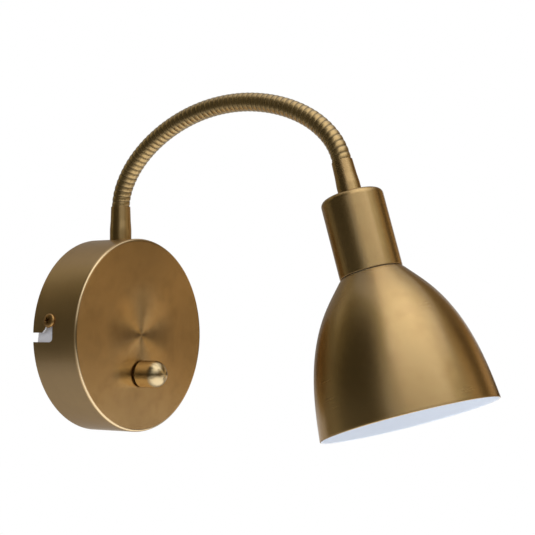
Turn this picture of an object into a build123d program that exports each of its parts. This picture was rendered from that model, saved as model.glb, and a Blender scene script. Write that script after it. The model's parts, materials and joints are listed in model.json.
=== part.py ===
from build123d import *
import os
from math import asin, cos, degrees, radians, sin, sqrt

# Bedside wall reading lamp: a round brass canopy on the wall, a ribbed gooseneck and a
# bell shade over a golf-ball bulb.  Millimetres, +Z up.  The origin is on the wall, at
# the canopy's axis, and the lamp stands out of the wall towards -Y.

# ---------------------------------------------------------------- driving dimensions
CANOPY_DIAMETER = 110.0      # outside of the round wall cover
CANOPY_DEPTH = 31.5          # from the wall to its flat front
CANOPY_WALL = 1.0
CANOPY_EDGE_RADIUS = 1.5     # rounded edge between front and side

SIDE_SCREW_DEPTH = 11.9      # from the wall to the M4 screws at the canopy's sides
SIDE_SCREW_HEIGHT = 8.3      # above the canopy's axis
SIDE_SCREW_HEAD = 8.0
SIDE_SCREW_HEAD_HEIGHT = 2.2
SIDE_SCREW_LENGTH = 8.0
SIDE_SCREW_RADIUS = 2.0
SIDE_SCREW_EDGE = 0.55       # rounded rim of its head
RECESS_LENGTH = 4.4          # cross recess of the screw heads
RECESS_WIDTH = 1.0
RECESS_DEPTH = 1.3
SLOT_WIDTH = 5.2             # hanging slot that the side screw slides into
SLOT_DROP = 9.2              # how far the canopy drops onto its screws
SLOT_OUTER_CORNER = 2.4      # radius
SLOT_INNER_CORNER = 2.2      # cut across

PLATE_HEIGHT = 28.0          # wall plate behind the canopy
PLATE_THICKNESS = 2.0
LUG_ABOVE = 5.0              # lugs bent up to take the side screws: above a screw's axis
LUG_BELOW = 14.0             # and below it, so that they back the hanging slots
LUG_LENGTH = 17.0
LUG_BEND = 3.0               # outside radius of the bend
LUG_FOOT = 1.0               # flat between the bend and the plate
LUG_CLEARANCE = 0.25         # between a lug's corners and the canopy's inside
WALL_SLOT_SPACING = 76.0     # between the two wall-screw slots
WALL_SLOT_LENGTH = 12.0
WALL_SLOT_WIDTH = 4.6
CABLE_HOLE = 14.0            # the supply cable comes out of the wall here

POLES = 3                    # terminal block
POLE_PITCH = 8.0
POLE_MARGIN = 1.0            # of the block past its outer poles' pitch
TERMINAL_HEIGHT = 16.0
TERMINAL_DEPTH = 12.0
TERMINAL_X = 21.0            # centre of the block, to the right of the cable hole
TERMINAL_TUBE_RADIUS = 2.4
TERMINAL_TUBE_BORE = 1.5
TERMINAL_TUBE_SETBACK = 1.0  # of the tubes' ends inside the block
TERMINAL_SCREW_RADIUS = 1.3
TERMINAL_SCREW_ROOM = 0.3    # round a screw in its well
TERMINAL_SCREW_SETBACK = 1.0 # of its top inside the well
TERMINAL_SCREW_SLOT = 0.5
TERMINAL_SCREW_SLOT_DEPTH = 0.6

EARTH_SCREW_X = -16.0
EARTH_SCREW_RADIUS = 2.0
EARTH_SCREW_HEAD = 7.0
EARTH_SCREW_HEAD_HEIGHT = 2.0
WALL_CLEARANCE = 0.3         # from the end of a screw in the plate to the wall
TAG_THICKNESS = 0.8
TAG_MARGIN = 0.5             # round the earth screw's head
TAG_WIDTH = 3.0
TAG_REACH = 14.0             # of its tail above the screw

DIMMER_DROP = 22.2           # the knob's axis below the canopy's
DIMMER_SIZE = 24.0           # square housing behind the front
DIMMER_DEPTH = 13.0
DIMMER_WALL = 1.5
DIMMER_CORNER = 1.5
SHAFT_RADIUS = 2.0
RUNNING_GAP = 0.05           # radial, of a turning or sliding fit
BUSH_RADIUS = 3.5
BUSH_STANDOUT = 4.0          # of the threaded bush in front of the canopy
BUSH_FLANGE = 4.6
BUSH_FLANGE_THICKNESS = 0.8
DIMMER_NUT_FLATS = 9.6
DIMMER_NUT_HEIGHT = 2.0
DIMMER_WASHER_RADIUS = 5.4
DIMMER_WASHER_THICKNESS = 0.5
SLIDER_RADIUS = 5.0          # sliding carrier of the push switch
SLIDER_LENGTH = 4.0
SLIDER_GUIDE_WALL = 1.4
COLLAR_RADIUS = 3.2
COLLAR_THICKNESS = 0.9
BOARD_THICKNESS = 1.6
BOARD_CLEARANCE = 0.2
BOARD_SETBACK = 1.5          # in front of the slider's guide's back end
BOARD_PARTS = ((-7.6, 7.6, 3.4), (7.6, 7.6, 3.0), (7.6, -7.6, 3.8))  # across, up, size

KNOB_DIAMETER = 15.5
KNOB_BARREL = 8.3            # straight length; a half ball of the knob's radius ends it
KNOB_GAP = 1.0               # to the canopy's front when the switch isn't pressed
KNOB_SKIRT = 1.4             # wall round the recess for the bush and its nut
KNOB_RECESS = 5.0
SHAFT_GRIP = 5.0             # how far the shaft reaches into the knob past its recess
SWITCH_TRAVEL = 0.8

NIPPLE_RADIUS = 5.0          # M10 x 1 hollow threaded rods
NIPPLE_BORE = 3.2
THREAD_GAP = 0.05            # radial, between a plain thread and its hole
LOCK_NUT_FLATS = 13.0
LOCK_NUT_HEIGHT = 3.0
NIPPLE_END = 1.5             # of a nipple past its lock nut
BASE_WASHER_RADIUS = 7.5
BASE_WASHER_THICKNESS = 1.0

SLEEVE_LENGTH = 19.0         # brass ferrule at each end of the gooseneck
SLEEVE_SADDLE = 2.0          # its foot reaches down the canopy's round side this far
SLEEVE_FOOT_RADIUS = 6.2
SLEEVE_STEP_START = 7.6      # from its foot to where it narrows
SLEEVE_STEP_END = 9.5
SLEEVE_WAIST_RADIUS = 5.85   # where the long taper to the mouth starts
SLEEVE_MOUTH_EDGE = 0.1
SLEEVE_MOUTH_RADIUS = 5.55
SLEEVE_WEB = 1.6             # between the threaded foot and the hose's seat

LINKS = 12                   # rigid stretches that stand for the bendable gooseneck
RIBS_PER_LINK = 5
RIB_PITCH = 3.17
HOSE_RADIUS = 5.15           # over the ribs
HOSE_VALLEY_RADIUS = 4.65
RIB_CREST = 0.36             # share of the pitch that is a rib's top
RIB_FOOT = 0.8               # share of the pitch at its foot
HOSE_BORE = 2.7
HOSE_GRIP = 12.4             # depth of the hose's seat in a sleeve
HOSE_SEAT_GAP = 0.05         # radial, in a sleeve
BALL_GAP = 0.3               # between a link's ball end and the next link's socket
BEND_START = 2.0             # the neck starts to bend this far inside the base sleeve
BEND_STOP = 1.0              # and stops this far outside the head's sleeve
MIDDLE_TURN = 8.48           # degrees that a link at the crown turns
END_TURN = 26.26             # degrees that the turn grows by towards both ends
TURN_LEAN = -0.41            # degrees by which it is less at the head's end
TURN_POWER = 4               # how late that growth comes

FLEX_RADIUS = 2.2            # sheathed three-core flex through the neck
CORE_RADIUS = 0.8            # its insulated cores
CORE_PITCH = 1.1             # from the flex's axis to each core's
FLEX_STRIP = 3.0             # the sheath ends this far past the nipple
FLEX_ENTRY = 1.0             # and this far inside the lampholder
WIRE_BEND = 4.0
WIRE_DROP = 9.0              # straight run of a core below the sheath
SWITCHED_DROP = 14.0         # the same for the core to the dimmer
SWITCHED_X = -4.0            # this core's place across the dimmer, from where it starts
WIRE_RISE = 12.0             # straight run above where a core ends
WIRE_GAP = 0.1               # between the earth core and its tag
WIRE_GRIP = 2.0              # from a terminal's middle to the end of its core

CUP_RADIUS = 16.45           # brass cup over the lampholder
CUP_LENGTH = 42.0
CUP_WALL = 0.8
CUP_EDGE_RADIUS = 3.0
CUP_SHADE_GAP = 0.3

SHADE_LENGTH = 77.0          # bell shade, spun from sheet
SHADE_RIM_RADIUS = 46.4
SHADE_WALL = 0.8
SHADE_SHOULDER_RADIUS = 27.7  # outside radius of the bell
SHADE_SHOULDER = 13.7        # this far below its top
SHADE_MIDDLE_RADIUS = 36.9
SHADE_MIDDLE = 30.5
SHADE_TOP_SLOPE = 40.0       # degrees from the axis
SHADE_RIM_SLOPE = 5.0

HOLDER_RADIUS = 13.0         # E14 lampholder's threaded body
HOLDER_LENGTH = 44.5
HOLDER_TOP = 4.0             # thickness of its top
HOLDER_NUT_GAP = 0.2         # between the lock nut and the holder
HOLDER_ROOM = 11.0           # radius of its wiring space
HOLDER_ROOM_DEPTH = 10.0
HOLDER_FLANGE_RADIUS = 15.0
HOLDER_FLANGE_THICKNESS = 1.6
INSERT_THICKNESS = 6.0       # ceramic insert with the contacts
TERMINAL_OFFSET = 5.5        # of the lampholder's terminals from its axis
HOLDER_TERMINAL_WIDTH = 3.6
HOLDER_TERMINAL_HEIGHT = 4.0
CONTACT_PIN_RADIUS = 1.5
CONTACT_STANDOUT = 2.0       # of the centre contact past the insert
CONTACT_STRAP = 1.0          # thickness
SHELL_RADIUS = 7.9           # E14 screw shell
SHELL_ROOM = 0.3             # round it in the holder
SHELL_WALL = 0.5
SHELL_SETBACK = 2.0          # of the shell inside the holder's mouth
SHADE_RING_RADIUS = 15.8
SHADE_RING_HEIGHT = 4.0
SHADE_RING_EDGE = 0.8

BULB_RADIUS = 22.5           # golf-ball lamp, P45, E14
BULB_LENGTH = 78.0
BULB_CAP_RADIUS = 7.0
BULB_CAP_LENGTH = 21.5
BULB_CAP_CONE = 4.0          # height of its tapered end
BULB_CAP_GLASS = 2.0         # thickness of the insulator in that end
BULB_SKIRT = 4.0             # the base reaches this far into the cap
BULB_TIP_LENGTH = 1.5
BULB_TIP_RADIUS = 2.4
BULB_NECK_RADIUS = 11.0
BULB_WAIST_RADIUS = 16.6
BULB_WAIST = 5.4             # from the cap to the base's waist
BULB_LEDGE = 1.0             # that carries its board
BULB_WALL = 1.2
BULB_BASE_DROP = 9.5         # the opal globe starts this far before its centre
BULB_BOARD_THICKNESS = 1.6
BULB_BOARD_GAP = 0.1

# ------------------------------------------------------------------ worked-out values
CANOPY_RADIUS = CANOPY_DIAMETER / 2
CANOPY_INSIDE = CANOPY_RADIUS - CANOPY_WALL
FRONT_INSIDE = CANOPY_DEPTH - CANOPY_WALL
STEM_DEPTH = CANOPY_DEPTH / 2
SIDE_SCREW_ANGLE = degrees(asin(SIDE_SCREW_HEIGHT / CANOPY_RADIUS))
LUG_OUTSIDE = sqrt((CANOPY_INSIDE - LUG_CLEARANCE) ** 2 - max(LUG_ABOVE, LUG_BELOW) ** 2)
KNOB_RADIUS = KNOB_DIAMETER / 2
LINK_LENGTH = RIBS_PER_LINK * RIB_PITCH
BASE_TAIL = HOSE_GRIP - BEND_START
HEAD_TAIL = HOSE_GRIP + BEND_STOP
SOCKET_RADIUS = HOSE_RADIUS + BALL_GAP


# -------------------------------------------------------------------- places and frames
def wall_plane(x, depth, z):
    """A plane at this depth off the wall, facing out of it: local x is +X, local y is +Z."""
    return Plane(origin=(x, -depth, z), x_dir=(1, 0, 0), z_dir=(0, -1, 0))


def stem_plane(z):
    """A level plane on the stem's axis: local x is +X, local y is +Y."""
    return Plane(origin=(0, -STEM_DEPTH, z), x_dir=(1, 0, 0), z_dir=(0, 0, 1))


def side_plane(side, distance):
    """A plane square to a side screw's axis, at this distance from the canopy's axis, facing
    out; side is -1 on the left and 1 on the right.  Local x is along +Y."""
    tilt = radians(SIDE_SCREW_ANGLE)
    out = Vector(side * cos(tilt), 0, sin(tilt))
    return Plane(origin=out * distance + Vector(0, -SIDE_SCREW_DEPTH, 0), x_dir=(0, 1, 0), z_dir=out)


def link_turn(index):
    """The turn of one link in degrees: least at the crown, most at the neck's two ends."""
    place = (2 * index + 1) / LINKS - 1
    return MIDDLE_TURN + END_TURN * abs(place) ** TURN_POWER + TURN_LEAN * place


def arc_point(start, heading, turn, distance):
    """The point and heading at a distance along an arc that starts here and turns towards -Y.
    A heading of 0 points up and 90 points out of the wall."""
    bend = radians(turn) / LINK_LENGTH
    here = radians(heading)
    there = here + bend * distance
    step = Vector(0, cos(there) - cos(here), sin(there) - sin(here)) / bend
    return start + step, degrees(there)


def neck_plane(point, heading):
    """A plane across the neck, facing along it, with its local x steady along +X."""
    along = Vector(0, -sin(radians(heading)), cos(radians(heading)))
    return Plane(origin=point, x_dir=(1, 0, 0), z_dir=along)


BASE_MOUTH = CANOPY_RADIUS + SLEEVE_LENGTH
link_starts = [Vector(0, -STEM_DEPTH, BASE_MOUTH - BEND_START)]
link_headings = [0.0]
for index in range(LINKS):
    end, end_heading = arc_point(link_starts[-1], link_headings[-1], link_turn(index), LINK_LENGTH)
    link_starts.append(end)
    link_headings.append(end_heading)

HEAD_HEADING = link_headings[-1]
HEAD_ALONG = neck_plane(link_starts[-1], HEAD_HEADING).z_dir
CUP_TOP = link_starts[-1] + HEAD_ALONG * (BEND_STOP + SLEEVE_LENGTH)


def head_plane(distance):
    """A plane across the head's axis, this far below the cup's top and facing its shade's mouth."""
    return Plane(origin=CUP_TOP + HEAD_ALONG * distance, x_dir=(1, 0, 0), z_dir=HEAD_ALONG)


# ------------------------------------------------------------------------- small shapes
def lathe(plane, points, mode=Mode.ADD):
    """Turns an outline of (radius, height) points about the plane's axis."""
    half = Plane(origin=plane.origin, x_dir=plane.x_dir, z_dir=-plane.y_dir)
    with BuildSketch(half) as section:
        with BuildLine():
            Polyline(*points, close=True)
        make_face()
    revolve(section.sketch, axis=Axis(plane.origin, plane.z_dir), mode=mode)


def cross_recess(plane):
    """Cuts a cross recess into the screw head whose top lies on this plane."""
    with BuildSketch(plane) as cross:
        Rectangle(RECESS_LENGTH, RECESS_WIDTH)
        Rectangle(RECESS_WIDTH, RECESS_LENGTH)
    extrude(cross.sketch, amount=-RECESS_DEPTH, mode=Mode.SUBTRACT)


def circle_on(plane, radius):
    """A round face on this plane."""
    with BuildSketch(plane) as face:
        Circle(radius)
    return face.sketch


# ------------------------------------------------------------------ canopy and wall plate
with BuildPart() as canopy_cover:
    with BuildSketch(Plane.XZ):
        Circle(CANOPY_RADIUS)
    extrude(amount=CANOPY_DEPTH)
    fillet(canopy_cover.edges().group_by(Axis.Y)[0], CANOPY_EDGE_RADIUS)
    offset(amount=-CANOPY_WALL, openings=canopy_cover.faces().sort_by(Axis.Y)[-1])
    # hole for the stem, through the top of the side
    with BuildSketch(stem_plane(CANOPY_RADIUS)):
        Circle(NIPPLE_RADIUS + THREAD_GAP)
    extrude(amount=-BASE_WASHER_RADIUS, mode=Mode.SUBTRACT)
    # hole for the dimmer's bush, through the front
    with BuildSketch(wall_plane(0, CANOPY_DEPTH, -DIMMER_DROP)):
        Circle(BUSH_RADIUS + THREAD_GAP)
    extrude(amount=-2 * CANOPY_WALL, mode=Mode.SUBTRACT)
    # L-shaped hanging slots: in from the wall's side, then up to the screw
    entry_z = SIDE_SCREW_HEIGHT - SLOT_DROP
    slot_floor = SIDE_SCREW_DEPTH + SLOT_WIDTH / 2
    slot_reach = SIDE_SCREW_HEIGHT + SLOT_WIDTH / 2
    for side in (-1, 1):
        with BuildSketch(Plane(origin=(side * CANOPY_RADIUS, 0, 0), x_dir=(0, 1, 0), z_dir=(1, 0, 0))):
            with Locations((-slot_floor / 2, entry_z)):
                Rectangle(slot_floor, SLOT_WIDTH)
            with Locations((-SIDE_SCREW_DEPTH, SIDE_SCREW_HEIGHT - SLOT_DROP / 2)):
                Rectangle(SLOT_WIDTH, SLOT_DROP)
            with Locations((-SIDE_SCREW_DEPTH, SIDE_SCREW_HEIGHT)):
                Circle(SLOT_WIDTH / 2)
            outer_corner = vertices().sort_by_distance((-slot_floor, entry_z - SLOT_WIDTH / 2))[0]
            fillet(outer_corner, SLOT_OUTER_CORNER)
            inner_corner = vertices().sort_by_distance((SLOT_WIDTH - slot_floor, entry_z + SLOT_WIDTH / 2))[0]
            chamfer(inner_corner, SLOT_INNER_CORNER)
        extrude(amount=-side * (CANOPY_RADIUS - sqrt(CANOPY_INSIDE ** 2 - slot_reach ** 2) + CANOPY_WALL),
                mode=Mode.SUBTRACT)
canopy_cover.part.label = "canopy_cover"

lug_inside = LUG_OUTSIDE - PLATE_THICKNESS
lug_start = LUG_OUTSIDE - LUG_BEND - LUG_FOOT
with BuildPart() as wall_plate:
    with BuildSketch(Plane.XZ):
        Rectangle(CANOPY_DIAMETER, PLATE_HEIGHT)
        Circle(CABLE_HOLE / 2, mode=Mode.SUBTRACT)
        with GridLocations(WALL_SLOT_SPACING, 0, 2, 1):
            SlotOverall(WALL_SLOT_LENGTH, WALL_SLOT_WIDTH, mode=Mode.SUBTRACT)
        with Locations((EARTH_SCREW_X, 0)):
            Circle(EARTH_SCREW_RADIUS + THREAD_GAP, mode=Mode.SUBTRACT)
        with Locations((TERMINAL_X, 0)):
            Circle(TERMINAL_SCREW_RADIUS + THREAD_GAP, mode=Mode.SUBTRACT)
    extrude(amount=PLATE_THICKNESS)
    for side in (-1, 1):
        split(bisect_by=side_plane(side, lug_start), keep=Keep.BOTTOM)
    for side in (-1, 1):
        # section of the bent lug: local x is out along the screw's axis, local y off the wall
        up = side_plane(side, 0).y_dir
        lug_edge = up * (LUG_ABOVE if side > 0 else LUG_BELOW)
        with BuildSketch(Plane(origin=lug_edge, x_dir=side_plane(side, 0).z_dir, z_dir=-up)):
            with BuildLine():
                straight = Polyline(
                    (LUG_OUTSIDE, LUG_BEND), (LUG_OUTSIDE, LUG_LENGTH), (lug_inside, LUG_LENGTH),
                    (lug_inside, PLATE_THICKNESS), (lug_start, PLATE_THICKNESS), (lug_start, 0),
                    (LUG_OUTSIDE - LUG_BEND, 0))
                TangentArc(straight @ 1, straight @ 0, tangent=(1, 0))
            make_face()
        extrude(amount=LUG_ABOVE + LUG_BELOW)
        with BuildSketch(side_plane(side, LUG_OUTSIDE)):
            Circle(SIDE_SCREW_RADIUS + THREAD_GAP)
        extrude(amount=-PLATE_THICKNESS, mode=Mode.SUBTRACT)
wall_plate.part.label = "wall_plate"

with BuildPart() as canopy_screws:
    for side in (-1, 1):
        with BuildSketch(side_plane(side, CANOPY_RADIUS)):
            Circle(SIDE_SCREW_HEAD / 2)
        extrude(amount=SIDE_SCREW_HEAD_HEIGHT)
        with BuildSketch(side_plane(side, CANOPY_RADIUS)):
            Circle(SIDE_SCREW_RADIUS)
        extrude(amount=-SIDE_SCREW_LENGTH)
    screw_edges = canopy_screws.edges().filter_by(GeomType.CIRCLE).sort_by(Axis.X)
    fillet([screw_edges[0], screw_edges[-1]], SIDE_SCREW_EDGE)
    for side in (-1, 1):
        cross_recess(side_plane(side, CANOPY_RADIUS + SIDE_SCREW_HEAD_HEIGHT))
canopy_screws.part.label = "canopy_screws"

# ------------------------------------------------------------ supply terminals and earth
pole_columns = [TERMINAL_X + (pole - (POLES - 1) / 2) * POLE_PITCH for pole in range(POLES)]
pole_centre_depth = PLATE_THICKNESS + TERMINAL_DEPTH / 2
pole_screw_rise = TERMINAL_HEIGHT / 4

with BuildPart() as terminal_block:
    with BuildSketch(wall_plane(TERMINAL_X, PLATE_THICKNESS, 0)):
        RectangleRounded(POLES * POLE_PITCH + 2 * POLE_MARGIN, TERMINAL_HEIGHT, POLE_MARGIN)
    extrude(amount=TERMINAL_DEPTH)
    for column in pole_columns:
        with BuildSketch(Plane(origin=(column, -pole_centre_depth, -TERMINAL_HEIGHT / 2))):
            Circle(TERMINAL_TUBE_RADIUS)
        extrude(amount=TERMINAL_HEIGHT, mode=Mode.SUBTRACT)
        with BuildSketch(wall_plane(column, PLATE_THICKNESS + TERMINAL_DEPTH, 0)):
            with GridLocations(0, 2 * pole_screw_rise, 1, 2):
                Circle(TERMINAL_SCREW_RADIUS + TERMINAL_SCREW_ROOM)
        extrude(amount=-TERMINAL_DEPTH / 2, mode=Mode.SUBTRACT)
terminal_block.part.label = "terminal_block"

with BuildPart() as terminal_tubes:
    for column in pole_columns:
        tube_foot = TERMINAL_TUBE_SETBACK - TERMINAL_HEIGHT / 2
        with BuildSketch(Plane(origin=(column, -pole_centre_depth, tube_foot))):
            Circle(TERMINAL_TUBE_RADIUS)
            Circle(TERMINAL_TUBE_BORE, mode=Mode.SUBTRACT)
        extrude(amount=-2 * tube_foot)
        with BuildSketch(wall_plane(column, pole_centre_depth, 0)):
            with GridLocations(0, 2 * pole_screw_rise, 1, 2):
                Circle(TERMINAL_SCREW_RADIUS + THREAD_GAP)
        extrude(amount=TERMINAL_DEPTH / 2, mode=Mode.SUBTRACT)
terminal_tubes.part.label = "terminal_tubes"

terminal_screw_tip = pole_centre_depth + CORE_RADIUS
terminal_screw_length = PLATE_THICKNESS + TERMINAL_DEPTH - TERMINAL_SCREW_SETBACK - terminal_screw_tip
with BuildPart() as terminal_screws:
    for column in pole_columns:
        with BuildSketch(wall_plane(column, terminal_screw_tip, 0)):
            with GridLocations(0, 2 * pole_screw_rise, 1, 2):
                Circle(TERMINAL_SCREW_RADIUS)
        extrude(amount=terminal_screw_length)
        with BuildSketch(wall_plane(column, terminal_screw_tip + terminal_screw_length, 0)):
            with GridLocations(0, 2 * pole_screw_rise, 1, 2):
                Rectangle(2 * TERMINAL_SCREW_RADIUS, TERMINAL_SCREW_SLOT)
        extrude(amount=-TERMINAL_SCREW_SLOT_DEPTH, mode=Mode.SUBTRACT)
terminal_screws.part.label = "terminal_screws"

with BuildPart() as earth_tag:
    with BuildSketch(wall_plane(EARTH_SCREW_X, PLATE_THICKNESS, 0)):
        Circle(EARTH_SCREW_HEAD / 2 + TAG_MARGIN)
        with Locations((0, TAG_REACH / 2)):
            Rectangle(TAG_WIDTH, TAG_REACH)
        Circle(EARTH_SCREW_RADIUS + THREAD_GAP, mode=Mode.SUBTRACT)
    extrude(amount=TAG_THICKNESS)
earth_tag.part.label = "earth_tag"

earth_head_base = PLATE_THICKNESS + TAG_THICKNESS
with BuildPart() as earth_screw:
    with BuildSketch(wall_plane(EARTH_SCREW_X, earth_head_base, 0)):
        Circle(EARTH_SCREW_HEAD / 2)
    extrude(amount=EARTH_SCREW_HEAD_HEIGHT)
    with BuildSketch(wall_plane(EARTH_SCREW_X, earth_head_base, 0)):
        Circle(EARTH_SCREW_RADIUS)
    extrude(amount=WALL_CLEARANCE - earth_head_base)
    cross_recess(wall_plane(EARTH_SCREW_X, earth_head_base + EARTH_SCREW_HEAD_HEIGHT, 0))
earth_screw.part.label = "earth_screw"

# ------------------------------------------------------------- rotary dimmer with switch
housing_back = FRONT_INSIDE - DIMMER_DEPTH
room_front = FRONT_INSIDE - DIMMER_WALL
room_back = housing_back + DIMMER_WALL
guide_radius = SLIDER_RADIUS + RUNNING_GAP
guide_outside = guide_radius + SLIDER_GUIDE_WALL
slider_front = room_front - BUSH_FLANGE_THICKNESS - COLLAR_THICKNESS - 2 * RUNNING_GAP
slider_back = slider_front - SLIDER_LENGTH
guide_back = slider_back - SWITCH_TRAVEL
shaft_back = slider_back - COLLAR_THICKNESS
shaft_front = CANOPY_DEPTH + KNOB_GAP + KNOB_RECESS + SHAFT_GRIP

with BuildPart() as dimmer_housing:
    with BuildSketch(wall_plane(0, room_back, -DIMMER_DROP)):
        RectangleRounded(DIMMER_SIZE, DIMMER_SIZE, DIMMER_CORNER)
    extrude(amount=FRONT_INSIDE - room_back)
    with BuildSketch(wall_plane(0, room_back, -DIMMER_DROP)):
        Rectangle(DIMMER_SIZE - 2 * DIMMER_WALL, DIMMER_SIZE - 2 * DIMMER_WALL)
    extrude(amount=room_front - room_back, mode=Mode.SUBTRACT)
    with BuildSketch(wall_plane(0, guide_back, -DIMMER_DROP)):
        Circle(guide_outside)
        Circle(guide_radius, mode=Mode.SUBTRACT)
    extrude(amount=room_front - guide_back)
    with BuildSketch(wall_plane(0, room_front, -DIMMER_DROP)):
        Circle(BUSH_RADIUS + THREAD_GAP)
    extrude(amount=DIMMER_WALL, mode=Mode.SUBTRACT)
dimmer_housing.part.label = "dimmer_housing"

with BuildPart() as dimmer_cover:
    with BuildSketch(wall_plane(0, housing_back, -DIMMER_DROP)):
        RectangleRounded(DIMMER_SIZE, DIMMER_SIZE, DIMMER_CORNER)
    extrude(amount=DIMMER_WALL)
dimmer_cover.part.label = "dimmer_cover"

board_back = guide_back + BOARD_SETBACK
board_size = DIMMER_SIZE - 2 * DIMMER_WALL - 2 * BOARD_CLEARANCE
with BuildPart() as dimmer_board:
    with BuildSketch(wall_plane(0, board_back, -DIMMER_DROP)):
        Rectangle(board_size, board_size)
        Circle(guide_outside + BOARD_CLEARANCE, mode=Mode.SUBTRACT)
    extrude(amount=BOARD_THICKNESS)
    for across, up, size in BOARD_PARTS:
        with BuildSketch(wall_plane(across, board_back + BOARD_THICKNESS, up - DIMMER_DROP)):
            Rectangle(size, size)
        extrude(amount=size / 2)
dimmer_board.part.label = "dimmer_board"

with BuildPart() as dimmer_bush:
    bush_front = CANOPY_DEPTH + BUSH_STANDOUT
    with BuildSketch(wall_plane(0, room_front - BUSH_FLANGE_THICKNESS, -DIMMER_DROP)):
        Circle(BUSH_FLANGE)
    extrude(amount=BUSH_FLANGE_THICKNESS)
    with BuildSketch(wall_plane(0, room_front, -DIMMER_DROP)):
        Circle(BUSH_RADIUS)
    extrude(amount=bush_front - room_front)
    with BuildSketch(wall_plane(0, bush_front, -DIMMER_DROP)):
        Circle(SHAFT_RADIUS + RUNNING_GAP)
    extrude(amount=-(bush_front - room_front + BUSH_FLANGE_THICKNESS), mode=Mode.SUBTRACT)
dimmer_bush.part.label = "dimmer_bush"

with BuildPart() as dimmer_washer:
    with BuildSketch(wall_plane(0, CANOPY_DEPTH, -DIMMER_DROP)):
        Circle(DIMMER_WASHER_RADIUS)
        Circle(BUSH_RADIUS + THREAD_GAP, mode=Mode.SUBTRACT)
    extrude(amount=DIMMER_WASHER_THICKNESS)
dimmer_washer.part.label = "dimmer_washer"

with BuildPart() as dimmer_nut:
    with BuildSketch(wall_plane(0, CANOPY_DEPTH + DIMMER_WASHER_THICKNESS, -DIMMER_DROP)):
        RegularPolygon(DIMMER_NUT_FLATS / 2, 6, major_radius=False)
        Circle(BUSH_RADIUS + THREAD_GAP, mode=Mode.SUBTRACT)
    extrude(amount=DIMMER_NUT_HEIGHT)
dimmer_nut.part.label = "dimmer_nut"

with BuildPart() as switch_slider:
    with BuildSketch(wall_plane(0, slider_back, -DIMMER_DROP)):
        Circle(SLIDER_RADIUS)
        Circle(SHAFT_RADIUS + RUNNING_GAP, mode=Mode.SUBTRACT)
    extrude(amount=SLIDER_LENGTH)
switch_slider.part.label = "switch_slider"

with BuildPart() as dimmer_shaft:
    with BuildSketch(wall_plane(0, shaft_back, -DIMMER_DROP)):
        Circle(SHAFT_RADIUS)
    extrude(amount=shaft_front - shaft_back)
    with BuildSketch(wall_plane(0, slider_front + RUNNING_GAP, -DIMMER_DROP)):
        Circle(COLLAR_RADIUS)
    extrude(amount=COLLAR_THICKNESS)
dimmer_shaft.part.label = "dimmer_shaft"

with BuildPart() as shaft_clip:
    with BuildSketch(wall_plane(0, shaft_back, -DIMMER_DROP)):
        Circle(COLLAR_RADIUS)
        Circle(SHAFT_RADIUS, mode=Mode.SUBTRACT)
    extrude(amount=COLLAR_THICKNESS - RUNNING_GAP)
shaft_clip.part.label = "shaft_clip"

with BuildPart() as dimmer_knob:
    knob_back = CANOPY_DEPTH + KNOB_GAP
    with BuildSketch(wall_plane(0, knob_back, -DIMMER_DROP)):
        Circle(KNOB_RADIUS)
    extrude(amount=KNOB_BARREL)
    with Locations(wall_plane(0, knob_back + KNOB_BARREL, -DIMMER_DROP)):
        Sphere(KNOB_RADIUS)
    with BuildSketch(wall_plane(0, knob_back, -DIMMER_DROP)):
        Circle(KNOB_RADIUS - KNOB_SKIRT)
    extrude(amount=KNOB_RECESS, mode=Mode.SUBTRACT)
    with BuildSketch(wall_plane(0, knob_back + KNOB_RECESS, -DIMMER_DROP)):
        Circle(SHAFT_RADIUS)
    extrude(amount=SHAFT_GRIP, mode=Mode.SUBTRACT)
dimmer_knob.part.label = "dimmer_knob"

# ------------------------------------------------------------------ sleeves and their nuts
hose_seat = SLEEVE_LENGTH - HOSE_GRIP
sleeve_thread = hose_seat - SLEEVE_WEB
sleeve_bore_radius = HOSE_RADIUS + HOSE_SEAT_GAP


def sleeve_outline(foot):
    """Half section of a sleeve, (radius, height) from its foot: threaded foot, web, hose seat."""
    return (
        (NIPPLE_RADIUS + THREAD_GAP, -foot),
        (SLEEVE_FOOT_RADIUS, -foot),
        (SLEEVE_FOOT_RADIUS, SLEEVE_STEP_START),
        (SLEEVE_WAIST_RADIUS, SLEEVE_STEP_END),
        (SLEEVE_MOUTH_RADIUS, SLEEVE_LENGTH - 3 * SLEEVE_MOUTH_EDGE),
        (SLEEVE_MOUTH_RADIUS - SLEEVE_MOUTH_EDGE, SLEEVE_LENGTH),
        (sleeve_bore_radius, SLEEVE_LENGTH),
        (sleeve_bore_radius, hose_seat),
        (NIPPLE_BORE, hose_seat),
        (NIPPLE_BORE, sleeve_thread),
        (NIPPLE_RADIUS + THREAD_GAP, sleeve_thread),
    )


with BuildPart() as base_sleeve:
    lathe(stem_plane(CANOPY_RADIUS), sleeve_outline(foot=SLEEVE_SADDLE))
    with BuildSketch(Plane.XZ):
        Circle(CANOPY_RADIUS)
    extrude(amount=CANOPY_DEPTH, mode=Mode.SUBTRACT)
base_sleeve.part.label = "base_sleeve"

washer_top = sqrt(CANOPY_INSIDE ** 2 - BASE_WASHER_RADIUS ** 2)
base_nut_top = washer_top - BASE_WASHER_THICKNESS
base_nipple_foot = base_nut_top - LOCK_NUT_HEIGHT - NIPPLE_END

with BuildPart() as base_washer:
    with BuildSketch(stem_plane(base_nut_top)):
        Circle(BASE_WASHER_RADIUS)
        Circle(NIPPLE_RADIUS + THREAD_GAP, mode=Mode.SUBTRACT)
    extrude(amount=BASE_WASHER_THICKNESS)
base_washer.part.label = "base_washer"

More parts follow.
